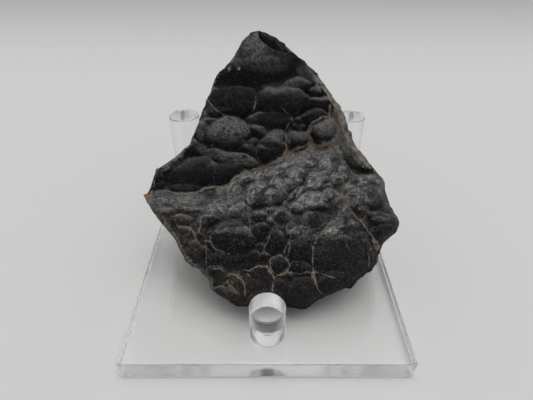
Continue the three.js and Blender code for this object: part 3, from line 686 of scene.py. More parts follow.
PLATE_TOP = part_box("base_plate")[1][2] / MM
PEG_LOW, PEG_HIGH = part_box("back_right_peg")
PEG_X = (PEG_LOW[0] + PEG_HIGH[0]) / 2 / MM
PEG_Y = (PEG_LOW[1] + PEG_HIGH[1]) / 2 / MM
PEG_RADIUS = (PEG_HIGH[0] - PEG_LOW[0]) / 2 / MM
SEAT_GAP = 0.3
PEG_GAP = 0.35
FLANK_SLOPE = 0.8
# A plane's depth behind the rim is a level in millimetres with slopes over v and over |u|.
UNDER_DEPTH, UNDER_SLOPE = 19.6, 0.154
LONG_DEPTH, LONG_SLOPE, LONG_RIDGE = 51.5, 0.427, 0.05
WALL_LEAST, WALL_MORE, WALL_SLOPE = 3, 10, 7
WALL_GROWS, WALL_THINS = (0, 22), (72, 105)
BREAK_ROUGH, BREAK_SIZE, BREAK_FINE_SIZE = 1.1, 9, 3
PIT_DEPTH, PIT_SIZE = 0.5, 1.6
SAND_DEPTH, SAND_SIZE = 0.2, 0.8


def back_depth(u, v):
    """How far the back lies behind the rim's plane: the least of the depths to the seat, the
    underside, the long face, the flanks and the side wall, less a rough break."""
    sine = math.sin(FACE_LEAN)
    cosine = math.cos(FACE_LEAN)
    seat = (FACE_FOOT_Z + v * sine - PLATE_TOP - SEAT_GAP) / cosine
    tangent = math.hypot(1, FLANK_SLOPE)
    reach = PEG_RADIUS + PEG_GAP
    peg_line = PEG_Y - reach / tangent + FLANK_SLOPE * (PEG_X - FLANK_SLOPE * reach / tangent)
    flank = (peg_line - FLANK_SLOPE * np.abs(u) - FACE_FOOT_Y - v * cosine) / sine
    under = UNDER_DEPTH + UNDER_SLOPE * v
    long_face = LONG_DEPTH - LONG_SLOPE * v - LONG_RIDGE * np.abs(u)
    full = smooth_step(v, *WALL_GROWS) * (1 - smooth_step(v, *WALL_THINS))
    wall = WALL_LEAST + WALL_MORE * full + WALL_SLOPE * distance_to_rim(u, v)
    broken = 0.7 * noise(u / BREAK_SIZE + 40, v / BREAK_SIZE)
    broken = BREAK_ROUGH * (broken + 0.3 * noise(u / BREAK_FINE_SIZE, v / BREAK_FINE_SIZE + 70))
    pits = PIT_DEPTH * np.abs(noise(u / PIT_SIZE + 3, v / PIT_SIZE) - 0.5)
    sand = SAND_DEPTH * noise(u / SAND_SIZE, v / SAND_SIZE)
    return np.minimum(seat, np.minimum.reduce([under, long_face, flank, wall]) - broken - (pits + sand))


# ---- Hematite: the mesh -------------------------------------------------------
# The front grid is three times as fine as the back one. Six-cornered faces join
# their borders, so that the stone is one closed skin.

FINENESS = 3
BACK_DOWN = 88
BACK_ACROSS = 100
WALL_RINGS = 10
WALL_INSET = 0.022


def to_stand(u, v, w):
    """From face coordinates in millimetres to the stand's frame in metres."""
    sine = math.sin(FACE_LEAN)
    cosine = math.cos(FACE_LEAN)
    y = FACE_FOOT_Y + v * cosine - w * sine
    z = FACE_FOOT_Z + v * sine + w * cosine
    return np.stack([u, y, z], -1) * MM


def border(numbers):
    """The vertex numbers once round the border of a grid."""
    return np.concatenate((numbers[0, :-1], numbers[:-1, -1], numbers[-1, :0:-1], numbers[:0:-1, 0]))


def quads(numbers):
    """The four vertex numbers of each cell of a grid."""
    corners = (numbers[:-1, :-1], numbers[1:, :-1], numbers[1:, 1:], numbers[:-1, 1:])
    return np.stack(corners, -1).reshape(-1, 4)


front_p, front_q = np.meshgrid(
    np.linspace(0, 1, BACK_DOWN * FINENESS + 1), np.linspace(0, 1, BACK_ACROSS * FINENESS + 1),
    indexing="ij",
)
front_u, front_v = face_points(front_p, front_q)
front_w = front_height(front_u, front_v)


def back_share(count):
    """Shares along one way of the back grid: close rings down the wall, then even steps."""
    k = np.arange(count + 1)
    ring = np.minimum(np.minimum(k, count - k), WALL_RINGS)
    inset = WALL_INSET * (ring + 0.5) / (WALL_RINGS + 0.5)
    even = WALL_INSET + (1 - 2 * WALL_INSET) * (k - WALL_RINGS) / (count - 2 * WALL_RINGS)
    return np.where(k < WALL_RINGS, inset, np.where(k > count - WALL_RINGS, 1 - inset, even))


back_p, back_q = np.meshgrid(back_share(BACK_DOWN), back_share(BACK_ACROSS), indexing="ij")
row, column = np.indices(back_p.shape)
ring = np.minimum.reduce([row, BACK_DOWN - row, column, BACK_ACROSS - column]).clip(max=WALL_RINGS)
back_u, back_v = face_points(back_p, back_q)
back_w = -back_depth(back_u, back_v) * (ring + 0.5) / (WALL_RINGS + 0.5)

front_numbers = np.arange(front_u.size).reshape(front_u.shape)
back_numbers = np.arange(back_u.size).reshape(back_u.shape) + front_u.size
fine_border = border(front_numbers)
coarse_border = border(back_numbers)
strip = np.column_stack(
    [np.roll(coarse_border, -1), coarse_border]
    + [np.roll(fine_border, -k)[::FINENESS] for k in range(FINENESS + 1)]
)
stone_points = np.concatenate((
    to_stand(front_u, front_v, front_w).reshape(-1, 3), to_stand(back_u, back_v, back_w).reshape(-1, 3),
))
stone_faces = quads(front_numbers).tolist() + quads(back_numbers)[:, ::-1].tolist() + strip.tolist()

stone_mesh = bpy.data.meshes.new("hematite_crust")
stone_mesh.from_pydata(stone_points.tolist(), [], stone_faces)
stone_mesh.shade_smooth()
stone = bpy.data.objects.new("hematite_crust", stone_mesh)
scene.collection.objects.link(stone)
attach(stone, "root")
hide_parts("hematite")


# ---- Hematite: dust, rust, polish and painted sheen ---------------------------
# Rust-tan dust fills the grooves between the lumps. The mesh carries where: each
# mask is a value on its points, worked out from the listed lines and ellipses.


def ring_chain(u, v, half_width, half_height, steps):
    """A closed chain round an ellipse: its centre plus the half widths times cosine and sine."""
    angle = np.linspace(0, 2 * math.pi, steps + 1)
    return np.column_stack((u + half_width * np.cos(angle), v + half_height * np.sin(angle)))


RING = ring_chain(4.6, 15.2, 3.7, 3.8, 12)
BALL_RING = ring_chain(22.5, 66.6, 6.3, 6.4, 18)
# Each vein is a chain of (u, v), its width and its strength.
VEINS = (
    (BALL_RING, 0.5, 1.2), (RING, 0.45, 0.9),
    (((-13.7, 47.7), (-10, 50.4), (-5, 52.2), (-1, 53.3), (3, 54.6), (6.5, 57.5)), 0.6, 1.3),
    (((6.5, 57.5), (8.2, 58.7), (11, 59.8), (14, 60.8), (16.4, 62.4)), 0.8, 1.3),
    (((16.4, 62.4), (18.5, 61.2), (20.5, 60.9), (23.5, 61.8), (27, 63.4)), 0.7, 1.2),
    (((-25.4, 43.7), (-24.4, 45), (-20, 45), (-16, 45.4)), 0.5, 1),
    (((-43, 42.9), (-40.7, 43.8), (-37.7, 43.8), (-35.4, 42.7), (-32, 42.4), (-27.4, 42.9)), 0.5, 0.95),
    (((24.3, 73.2), (24.6, 75.5), (25, 78.3)), 0.6, 0.9),
    (((6.3, 76.3), (7.3, 74.8), (9.3, 73.5), (11.2, 74.6), (12.4, 76.2)), 0.35, 0.7),
    (((9.3, 73.5), (9.8, 71.8), (8.6, 70), (7.3, 68)), 0.4, 0.8),
    (((7.1, 65.3), (7.4, 62.5), (8.2, 58.7)), 0.5, 1.1),
    (((-23.9, 80.2), (-22, 77.6), (-20, 75.8), (-18, 74.7), (-16.8, 73.5), (-16.5, 72.8)), 0.4, 0.8),
    (((-19.8, 71), (-18.5, 71.6), (-16.5, 72.9), (-14, 72.9), (-11, 72.7)), 0.4, 0.85),
    (((-4.9, 82), (-4.8, 79), (-5.3, 76), (-6.7, 74.5), (-7.8, 73.3)), 0.35, 0.7),
    (((-7.5, 71), (-5, 69.7), (-2, 68.7), (1, 67.9)), 0.4, 0.85),
    (((16.5, 81), (20, 80.6), (23, 81.3), (25, 80.6)), 0.4, 0.7),
    (((-4.5, 60), (-4, 57.5), (-2.8, 55.5), (-1.5, 54)), 0.35, 0.6),
    (((-22.4, 62), (-20.3, 60.5), (-17.5, 59.1), (-13.3, 58.4), (-9.1, 58), (-4.9, 56.5),
      (-2.8, 54.7)), 0.4, 0.75),
    (((29.8, 60), (29.6, 57.5), (30.4, 54.5), (32, 52.3), (34.5, 50.9)), 0.5, 0.5),
    (((25.5, 44.4), (27.3, 43), (28.6, 41.6), (30, 40.2), (30.3, 38)), 0.6, 0.8),
    (((28.2, 42.8), (29.2, 45), (31, 46.7), (33.2, 47.7)), 0.5, 0.7),
    (((30.5, 39.8), (31.9, 36.5), (33.7, 34), (35.8, 32.5), (37.2, 30.7), (38.6, 28.1), (40, 25.6),
      (41.4, 23.8)), 0.5, 1),
    (((35.8, 32.5), (36.9, 33.2), (38.1, 34.3)), 0.4, 0.7),
    (((31, 31.4), (33.4, 32), (35.8, 32.5)), 0.35, 0.4),
    (((27.8, 36), (26.8, 34), (25, 31.8)), 0.45, 0.7),
    (((25, 31.8), (23, 30), (21.5, 28.5)), 0.8, 1),
    (((21.5, 28.5), (19.6, 26.3), (18.1, 23.7), (17.6, 21.6), (17.2, 18.7), (17.3, 15.9),
      (17.3, 12.8)), 0.38, 0.9),
    (((17.2, 12.8), (17.4, 11), (18, 8.8)), 0.6, 1),
    (((18, 8.8), (19.4, 6.7), (20.4, 4.9)), 0.35, 0.9),
    (((17.3, 12.6), (19.4, 12.5), (22.3, 11.6), (25.4, 10.8)), 0.32, 0.6),
    (((17.3, 12.5), (15.1, 12.8), (12.6, 12.3), (10.1, 12.5), (8.3, 13), (6.9, 13.4)), 0.38, 0.8),
    (((8.7, 16.2), (10.8, 15.8), (13, 15)), 0.32, 0.55),
    (((0.4, 14.4), (-1, 14.8), (-3, 15.5), (-4.6, 14.8), (-6.4, 13.3)), 0.42, 0.85),
    (((0.9, 13.6), (1.8, 11.2), (2.3, 10)), 0.6, 0.9),
    (((2.3, 10), (2.4, 7.7), (2.2, 5.6)), 0.38, 0.8),
    (((2.2, 10.5), (4, 11.2), (5.1, 11.8), (6.4, 13)), 0.38, 0.7),
    (((8, 18.3), (8.2, 21.6), (8.4, 24.4), (9.1, 26.2), (10.7, 28.1), (10.7, 29.2),
      (9.1, 30)), 0.32, 0.75),
    (((6, 19.4), (6.9, 21.6), (7.8, 23.7), (9.1, 25.9)), 0.32, 0.7),
    (((9.1, 25.9), (7.8, 27.3), (7.5, 29.5), (6.2, 30.2)), 0.4, 0.8),
    (((2, 18.2), (0.4, 19.5), (-1.2, 20.8), (-0.5, 22.8), (0.7, 25.9), (1.8, 29.1)), 0.32, 0.8),
    (((-1.2, 20.7), (-2.9, 19.4), (-4.1, 20.3)), 0.32, 0.5),
    (((-21.7, 26.4), (-21.7, 23.9), (-20.4, 22.4), (-18.2, 20.6), (-16, 20.1), (-14.2, 19.7)), 0.42, 1),
    (((-21.7, 23.9), (-23.2, 24.2)), 0.4, 0.9),
    (((-21.7, 26.4), (-20.5, 27.5), (-18.7, 29.7), (-15.8, 31.5), (-12.9, 30.8), (-9.6, 30.2),
      (-7.1, 29.3)), 0.35, 0.5),
    (((-6.7, 33), (-6.7, 30.9), (-6.5, 29)), 0.35, 0.85),
    (((-6.5, 29), (-7.2, 26), (-5.2, 23.9), (-3.4, 21.5)), 0.3, 0.4),
    (((-23.8, 24.6), (-23.5, 22.1), (-23, 18.8), (-22.8, 14.9)), 0.4, 0.6),
    (((-22, 14.2), (-19.5, 14.3), (-17.4, 14), (-16.3, 13.2)), 0.4, 0.75),
    (((-15.2, 11.4), (-13.4, 12.1), (-11.6, 11.4), (-9.8, 10), (-8.7, 7.5), (-8, 4.4)), 0.6, 0.8),
    (((-15.2, 9.6), (-13.3, 7.5), (-11.5, 5.4)), 0.6, 0.75),
    (((-19.8, 6.8), (-18, 7.2), (-16.6, 7.5)), 0.35, 0.9),
    (((-10.2, 13), (-8, 13.3), (-6.2, 13.2)), 0.4, 0.55),
    (((-7.2, 12.2), (-6, 11.2)), 0.5, 0.7),
    (((-34, 30.3), (-31.4, 29.8), (-28.9, 29.3), (-27.8, 27.5), (-27.3, 25.6), (-25.9, 23.8)), 0.7, 0.9),
    (((-25, 32.6), (-25.3, 29.6), (-25.9, 27.5), (-24.1, 26.4)), 0.45, 0.8),
    (((7.6, 40), (6, 38.3), (3.8, 37.3), (3.3, 34.7)), 0.4, 0.7),
    (((9, 37.5), (8.8, 34), (8, 31.5), (7.5, 29.5)), 0.4, 0.7),
    (((39.5, 21.6), (38.4, 20.2), (38.7, 17.3), (38.2, 15.2)), 0.35, 0.7),
    (((28.4, 26.3), (30.5, 22.7), (32.6, 20.2), (34.7, 17)), 0.3, 0.35),
)
# Tan patches on the broken rim and between the lumps: ellipses with a weight.
TAN_PATCHES = (
    (-3.9, 107.3, 1.8, 1.3, 0, 0.6), (-11.4, 92.8, 0.6, 0.7, 0, 1), (23.5, 85.5, 2.8, 1.1, -65, 0.7),
    (25, 81.5, 2.4, 1.2, -60, 0.7), (27.5, 76.5, 3, 1.1, -70, 0.6), (29, 71.5, 1.4, 2.8, 10, 0.7),
    (31, 64, 1.5, 3, 15, 0.5), (34.5, 60.5, 3, 1.2, -50, 0.6), (38.3, 55.2, 2.2, 1.2, -40, 0.9),
    (-39.5, 53.6, 2.6, 0.7, 35, 0.5), (-24.8, 74, 0.8, 1.4, 0, 0.8), (-46.8, 41.6, 1.5, 1.6, 0, 1),
    (-38.2, 36, 2.6, 1.1, 0, 0.8), (-31.8, 32.6, 2.2, 1.2, 0, 0.35), (-28, 28, 1.4, 2, 40, 0.5),
    (-11.5, 10, 3.4, 2.6, -30, 0.4), (8, 13.2, 1.4, 0.9, -15, 0.8), (0.9, 13.2, 0.7, 1, 0, 0.8),
    (17.3, 11.6, 0.8, 1.3, 0, 0.9), (28.8, 42, 1.1, 1.3, 0, 0.8), (40.8, 24.4, 1, 1.2, 30, 0.6),
    (7.4, 58.8, 1.2, 0.8, 20, 0.9), (8.2, 68.6, 1.1, 1.2, 0, 0.8), (16.4, 66.5, 0.9, 3.4, 0, 1),
    (16.8, 61.8, 1.4, 0.9, 0, 0.8), (41.5, 22.5, 0.9, 2.2, 20, 0.8),
)
# Places where the painted sheen reaches further down over the lumps.
SHEEN_FURTHER_DOWN = (
    (-15, 67.2, 9, 5.2, 0, 1), (22.3, 68.5, 4.4, 3.8, 0, 1), (17, 33, 12, 6, 0, 0.6),
    (17.6, 40.3, 7, 2.8, 0, 1), (19, 27.6, 12, 1.6, 2, 1), (31, 35, 4, 6, 20, 0.6), (5, 39, 7, 5, 0, 0.6),
    (41, 43, 4, 5, 0, 0.6), (4, 33, 4, 4, 0, 0.4), (-31, 36.8, 6, 1.6, 3, 0.9), (36, 45, 9, 6, -10, 0.6),
    (3.5, 65.6, 4, 2.4, 0, 0.8), (13, 65.4, 4, 2.4, 0, 0.7), (-16, 57.8, 7, 1.4, -8, 0.8),
    (14.5, 47, 6, 3, 10, 0.8), (-1, 95.6, 9, 3, -5, 0.5), (33.5, 38.6, 4, 1.8, 0, 0.7),
    (11.5, 50, 3.4, 3.4, 0, 1), (-3.8, 67.4, 4.4, 1.6, -22, 0.6), (23, 54, 3.4, 3, 0, 0.9),
    (16, 53.5, 4, 2, 20, 1), (5.5, 45.2, 3.5, 1.8, -40, 1), (22, 47, 5, 2.6, 0, 1),
    (20, 38, 5, 1.4, 0, 1), (26, 41.5, 2.4, 2.4, 0, 0.8), (-17, 29, 3, 1.4, 20, 0.8),
    (25, 26.2, 5, 1.2, 0, 0.9), (35, 26.8, 4, 1.4, 0, 0.9), (21.5, 22.5, 4, 2, 0, 0.4),
    (-40, 45, 4, 2, 0, 0.6), (-20, 35.5, 12, 2, -3, 0.6), (-5, 103, 5, 4.6, 40, 0.65),
    (-12, 95.5, 3, 2, -40, 0.6), (15, 91.5, 4.5, 2.6, -48, 0.7), (4, 85.8, 6, 1.4, 2, 0.8),
    (11, 88.6, 5, 2, 15, 0.8), (34, 56.5, 4.5, 2.4, -42, 0.6), (-34, 43.2, 9, 1.2, 0, 0.8),
)
# Places painted lighter however they tilt: painted light.
PAINTED_LIGHT_SPOTS = (
    (-1, 94, 9, 2.6, -5, 0.2), (27, 32, 2.4, 1.4, 0, 0.6), (29.6, 49.5, 1.6, 1.6, 0, 0.6),
    (24.8, 52, 1.8, 1.6, 0, 0.5), (26.6, 27, 3, 1, 10, 0.5), (-20, 76, 6, 1, 5, 0.2),
    (-6, 60.5, 3, 1, -25, 0.5), (-13, 28.4, 4, 1.2, -8, 0.4), (17.6, 45.6, 2.8, 1.8, 0, 1),
    (18, 38.8, 4, 1.4, 0, 0.9), (11.5, 47.2, 2.4, 1.6, 0, 0.6), (12, 54.6, 2, 1.6, 0, 0.6),
    (16, 38, 6, 1.6, 5, 0.6), (25.5, 62.2, 4.6, 1.2, -5, 0.9), (29, 63.5, 1.8, 3, 0, 0.9),
    (-8, 62, 3, 1.4, -30, 0.35), (-8, 34.4, 2, 1.4, 0, 0.4), (37, 37, 2.4, 1, 0, 0.5),
    (43.5, 33, 4, 1.2, 0, 0.35), (-25, 32.5, 2, 2, 0, 0.4), (32.5, 26.5, 3, 1.2, -20, 0.4),
    (-26, 67, 1.6, 3, 0, 0.4), (15.5, 90.8, 4.5, 2.6, -48, 0.5), (5.2, 45.2, 2.6, 1.6, -40, 0.6),
    (20, 38.2, 4, 1, 0, 0.5), (-14, 56, 9, 1.6, -12, 0.45), (-24, 58.6, 4, 1.4, -30, 0.45),
    (8, 64, 1.1, 4, 0, 0.5), (28, 67, 1.4, 4, 0, 0.6), (15, 25.8, 4.5, 1, 0, 0.6), (25, 26, 5, 1, 5, 0.6),
    (36, 26, 3, 1.2, -40, 0.4), (3, 54.6, 5, 1, 30, 0.9), (-6.5, 39.5, 1.6, 1.6, 0, 0.5),
    (12, 86.8, 4, 1.4, 10, 0.35), (22.5, 69.5, 3.6, 2.4, 0, 0.3), (33, 56, 3.4, 1.6, -45, 0.35),
    (-33, 45, 7, 1.2, 0, 0.3),
)
# Places where the painted sheen is taken away, so they stay dark: painted shade.
SHEEN_TAKEN_AWAY = (
    (9, 97.4, 5.5, 3.2, -42, 0.6), (-6.4, 100.2, 2, 1.3, 30, 0.7), (2.4, 72.8, 7.4, 2.2, 0, 1),
    (-16, 52.8, 7, 2, 10, 0.7), (-30, 54.6, 10, 2.6, 12, 0.5), (24, 23.8, 15, 2.2, -2, 0.8),
    (44.5, 31.5, 6, 4.5, 0, 0.8), (-12, 31.6, 10, 2, 3, 0.85), (-34.5, 54.4, 4, 1.2, 30, 0.9),
    (-5, 82, 2, 5, 0, 0.8), (-15, 73.5, 6, 1.2, 0, 0.5), (36.2, 33.8, 4, 2.4, 10, 0.9),
    (45, 34, 4, 4, 0, 0.8), (40.5, 44.5, 3, 4.5, 0, 0.8), (34, 43, 5, 1.6, 0, 0.6),
    (33, 48, 2.4, 2, 0, 0.6), (-18.5, 29.6, 4, 1.2, 10, 0.8), (-2, 36, 2, 1.2, 0, 0.5),
    (-28, 40, 7, 2, 0, 0.4), (4, 100.5, 4, 1.4, -40, 0.7), (-11.5, 101, 1.2, 4, 20, 0.6),
    (32, 43.2, 3, 1.6, 0, 0.5), (38, 43.2, 4, 1.4, 0, 0.5), (19, 74.6, 5, 2.4, 0, 0.6),
    (-2, 30.2, 3.6, 1.4, 0, 0.6), (-20, 18.6, 3, 3, 0, 0.6), (-2.2, 39.2, 2, 2, 20, 0.5),
    (-7, 47.3, 2.2, 2, 20, 0.7), (13.4, 48.6, 1.6, 2.6, 10, 0.7), (17.8, 32, 2.6, 2.4, 0, 0.8),
    (-21.8, 43, 3, 2, -10, 0.9), (-38.8, 41.2, 4, 2, 0, 0.6), (37, 36, 3.6, 3, 0, 0.8),
    (22.5, 37, 5, 2.6, -10, 0.8), (5.3, 34, 1.4, 1.6, 0, 0.7), (43, 40, 3, 5, 0, 0.6),
    (-6, 33.5, 5, 2.5, 0, 0.7), (30, 30.5, 4, 3, 0, 0.5), (-13, 81, 11, 5, 0, 0.95),
    (-33, 39.5, 12, 3.4, -3, 0.35), (-12.5, 24.6, 6, 2.6, 0, 0.85), (-28, 44.5, 8, 3, 0, 0.6),
    (-22, 40.5, 9, 2.4, 5, 0.6), (-12, 44, 6, 5, 25, 0.45), (3, 100, 4.5, 1.8, -35, 0.8),
    (-18, 86, 4, 1.6, 0, 1), (-7, 84, 2.4, 2, 0, 0.8), (-2.5, 40.5, 2.6, 2.6, 0, 0.4),
    (4.2, 41.4, 2.8, 2.4, 0, 0.6), (19, 34.4, 4, 1.6, 0, 0.6), (0, 5.5, 8, 2, 0, 1),
    (26, 12.6, 7, 1.4, 10, 0.6), (13.5, 10, 5, 1.2, 0, 0.6), (6.3, 9.4, 4, 1, 0, 0.6),
    (-5, 9, 4, 1, 0, 0.6), (-2.5, 14.2, 3, 1, 0, 0.6), (-12.3, 19.4, 4, 1, 0, 0.5),
    (39.5, 49, 4, 1.6, -20, 0.5), (45.5, 37, 2, 2, 0, 0.5), (-12, 59.4, 8, 1.2, -10, 0.6),
    (-26, 62, 2, 1.6, 0, 0.6), (26.5, 56.5, 2.4, 2, 0, 0.35), (22, 45, 2.4, 1.2, 0, 0.4),
    (-3.6, 30, 3, 1.2, 0, 0.8), (2, 27.4, 3, 1.6, 0, 0.8), (13.5, 31.5, 3.4, 2.4, 0, 0.5),
    (23.5, 33.5, 3, 2, 0, 0.5),
)
# Places where the dark crust has a brown cast.
BROWN_CAST = (
    (-2.4, 8.4, 4.6, 4.6, 0, 1), (28, 15, 12, 8, 10, 0.55), (-12, 10, 7, 6, 0, 0.5),
    (38, 19, 4, 6, 0, 0.5), (10, 6, 9, 5, 0, 0.45), (-30, 29, 8, 7, -30, 0.6), (31, 66, 4, 14, 12, 0.5),
)

# Pale broken stone along the rim, and cream edges: ellipses with a weight.
PALE_BREAK = (
    (30.2, 64, 2, 6.4, 14, 1), (27.2, 63.4, 2.4, 2.6, 0, 0.8), (27, 73, 1.8, 4, 20, 0.8),
    (35.5, 56, 1.2, 4.4, 38, 1), (0, 107, 3.4, 0.6, -28, 0.7), (33.8, 58.8, 1.5, 2.2, 40, 0.9),
    (42, 22.8, 0.8, 2, 20, 0.9), (-15, 93, 0.8, 1.6, -35, 0.8), (-33.4, 57.2, 1.4, 0.5, 40, 0.6),
    (20.5, 87.5, 3.6, 1.8, -55, 0.9), (26.5, 79.5, 4, 1.5, -60, 0.8), (-40.3, 51.9, 2.8, 0.8, 18, 1),
    (-42.6, 51.6, 1.6, 1, 60, 0.8), (38.4, 54.4, 2, 1, -40, 0.8), (-39, 36.4, 4, 1, 8, 1),
    (-29.5, 35.5, 4, 0.7, 0, 0.5),
)

# Spots of orange rust.
RUSTY = (
    (-11.4, 92.8, 0.7, 0.6, -60, 1), (-46.8, 41.6, 1.7, 1.8, 0, 1), (-4.6, 107.3, 0.7, 1, 20, 0.35),
)

SEAM_WIDTH = 0.3
SEAM_STEP = 0.05
SEAM_LEAST_SLOPE = 0.2
SEAM_LUMP = (0.02, 0.2)
seen_u, seen_v = as_seen(front_u, front_v, front_w)


def lump_lead(u, v):
    """How much higher the highest lump is than the next."""
    first, second = highest_lumps(u, v)
    return first - second


# Distance from the seam between two lumps is the lead over how fast the lead changes.
lead = lump_lead(front_u, front_v)
lead_slope = np.hypot(
    lump_lead(front_u + SEAM_STEP, front_v) - lead, lump_lead(front_u, front_v + SEAM_STEP) - lead,
) / SEAM_STEP
lump_height = highest_lumps(front_u, front_v)[0]
seams = np.exp(-(lead / np.maximum(lead_slope, SEAM_LEAST_SLOPE) / SEAM_WIDTH) ** 2)
seams = seams * smooth_step(lump_height, *SEAM_LUMP)

# A vein is a narrow core of dust in a faint wide haze, here and there worn away.
VEIN_WAVE = 2.2
VEIN_REACH = 0.45
VEIN_LEAST = 0.45
VEIN_WORN = 0.6
HAZE, HAZE_WIDTH = 0.35, 2.6
RAGGED_SIZE, RAGGED_PATCH = 0.8, (0.1, 0.6)
WORN_SIZE, WORN_EDGE = 1.9, (0.15, 0.5)
vein_u, vein_v = wander(seen_u, seen_v, VEIN_WAVE, VEIN_REACH)
ragged = noise(front_u / RAGGED_SIZE, front_v / RAGGED_SIZE)
worn = smooth_step(noise(front_u / WORN_SIZE + 5, front_v / WORN_SIZE), *WORN_EDGE)
vein_dust = weight(TAN_PATCHES, seen_u, seen_v) * smooth_step(ragged, *RAGGED_PATCH)
for chain, width, strength in VEINS:
    line = distance_to_line(chain, vein_u, vein_v)
    core = np.exp(-(line / (width * (VEIN_LEAST + (1 - VEIN_LEAST) * ragged))) ** 2)
    core = core * (VEIN_WORN + (1 - VEIN_WORN) * worn)
    haze = HAZE * ragged * np.exp(-(line / (HAZE_WIDTH * width)) ** 2)
    vein_dust = np.maximum(vein_dust, strength * np.maximum(core, haze))

# The broken rim is pale in a band on the upper right, a strip on the lower left flank and a
# thin line elsewhere. Each is whole up to the first distance from the rim and gone at the second.
BAND_PALE, BAND_REACH, BAND_STARTS, BAND_ENDS = 0.9, (1.6, 3.2), (50, 54), (87, 92)
STRIP_PALE, STRIP_REACH, STRIP_RIGHT, STRIP_TOP = 0.6, (1.6, 2.6), -20, 40
LINE_PALE, LINE_REACH, LINE_FOOT = 0.9, (0.5, 0.9), 45
LEFT_LINE_PALE, LEFT_LINE_FOOT = 0.45, 62
PALE_LEAST, PALE_EDGE = 0.55, (0.2, 0.6)
rim_distance = distance_to_rim(front_u, front_v)
rim_band = BAND_PALE * fall_off(rim_distance, *BAND_REACH) * smooth_step(front_u, *BAND_RIGHT)
rim_band = rim_band * smooth_step(front_v, *BAND_STARTS) * fall_off(front_v, *BAND_ENDS)
flank_strip = fall_off(rim_distance, *STRIP_REACH) * ((front_u < STRIP_RIGHT) & (front_v < STRIP_TOP))
rim_line = fall_off(rim_distance, *LINE_REACH) * (front_v > LINE_FOOT)
rim_line = rim_line * np.where((front_u < 0) & (front_v > LEFT_LINE_FOOT), LEFT_LINE_PALE, LINE_PALE)
pale_stone = np.maximum.reduce([
    weight(PALE_BREAK, seen_u, seen_v), rim_band, rim_line, STRIP_PALE * flank_strip,
])
pale_stone = pale_stone * (PALE_LEAST + (1 - PALE_LEAST) * smooth_step(ragged, *PALE_EDGE))

# Painted sheen: what tilts up is painted lighter, as light from above would make it; the painted
# sheen reaches further down the lumps in some places, and covers the strip of the shelf right under
# the valley, where the lumps above would shade it. It is weaker near the foot.
LIT_TILT, SHEEN_FURTHER_TILT, VALLEY_TILT = (-0.1, 0.9), (-0.9, 0.3), (-1.2, 0.2)
SHEEN_STARTS, SHEEN_ENDS, SHEEN_LUMP, SHEEN_RIGHT = (-0.6, 0.2), (5, 9), (0.6, 1.6), 30
FOOT_LOSS, FOOT_REACH = 0.45, (20, 28)
tilt = tilt_towards(0, 1, front_u, front_v)
below_valley = curve_over(VALLEY, front_u) - front_v
valley_strip = smooth_step(below_valley, *SHEEN_STARTS) * fall_off(below_valley, *SHEEN_ENDS)
valley_strip = valley_strip * (front_u < SHEEN_RIGHT) * fall_off(lump_height, *SHEEN_LUMP)
painted_sheen = np.maximum.reduce([
    smooth_step(tilt, *LIT_TILT),
    weight(SHEEN_FURTHER_DOWN, seen_u, seen_v) * smooth_step(tilt, *SHEEN_FURTHER_TILT),
    valley_strip * smooth_step(tilt, *VALLEY_TILT),
])
painted_sheen = painted_sheen * (1 - FOOT_LOSS * fall_off(front_v, *FOOT_REACH)) * (1 - weight(SHEEN_TAKEN_AWAY, seen_u, seen_v))
painted_light_spots = weight(PAINTED_LIGHT_SPOTS, seen_u, seen_v)

# On the shelf what faces up and left gets a painted highlight, as if lit from above and the left, and
# dust dulls the low ground.
UP_LIGHT, LEFT_LIGHT = 0.8, 0.45
HIGHLIGHT_TILT, HIGHLIGHT_LUMP, LOW_LUMP = (0.1, 0.75), (0.15, 0.8), (0.25, 1)
facing_light = UP_LIGHT * tilt + LEFT_LIGHT * tilt_towards(-1, 0, front_u, front_v)
painted_highlight = smooth_step(facing_light, *HIGHLIGHT_TILT) * smooth_step(lump_height, *HIGHLIGHT_LUMP)
low_ground = fall_off(lump_height, *LOW_LUMP)
# Above the valley the lumps are smoother, but for the grainy ones and the tip.
SMOOTH_STARTS, SMOOTH_ENDS = (0, 1.5), (92, 96)
grainy_crust = weight(GRAINY, front_u, front_v)
smooth_lumps = smooth_step(-below_valley, *SMOOTH_STARTS) * fall_off(front_v, *SMOOTH_ENDS)
smooth_lumps = smooth_lumps * (1 - grainy_crust)

# Each mask's values on the front and its one value on the back.
masks = {
    "tan_dust": (vein_dust, 0),
    "seam": (seams, 0),
    "shelf": (on_shelf(front_u, front_v), 0),
    "grainy": (grainy_crust, 0),
    "painted_sheen": (np.maximum(painted_sheen, painted_light_spots), 0.3),
    "brown_cast": (weight(BROWN_CAST, front_u, front_v), 0.3),
    "broken": (np.maximum(weight(BROKEN, front_u, front_v), flank_strip), 1),
    "pale_break": (pale_stone, 0),
    "shell_break": (shell_break(front_u, front_v), 0),
    "painted_highlight": (np.maximum(painted_highlight, painted_light_spots), 0),
    "low_ground": (low_ground, 0),
    "polished": (smooth_lumps, 0),
    "rusty": (weight(RUSTY, seen_u, seen_v), 0),
}
for name, (front_values, back_value) in masks.items():
    layer = stone_mesh.attributes.new(name, "FLOAT", "POINT")
    values = np.concatenate((np.ravel(front_values), np.full(back_u.size, float(back_value))))
    layer.data.foreach_set("value", values.astype(np.float32))

# The crust's own colours, from its black to the metal grey of its painted sheen, and those of what lies
# on it.
BLACK_CRUST, GREY_CRUST = (0.0028, 0.003, 0.0045, 1), (0.0092, 0.0099, 0.013, 1)
BROWN_CRUST = (0.026, 0.0225, 0.0205, 1)
BRIGHT_SPECKS = (0.134, 0.13, 0.124, 1)
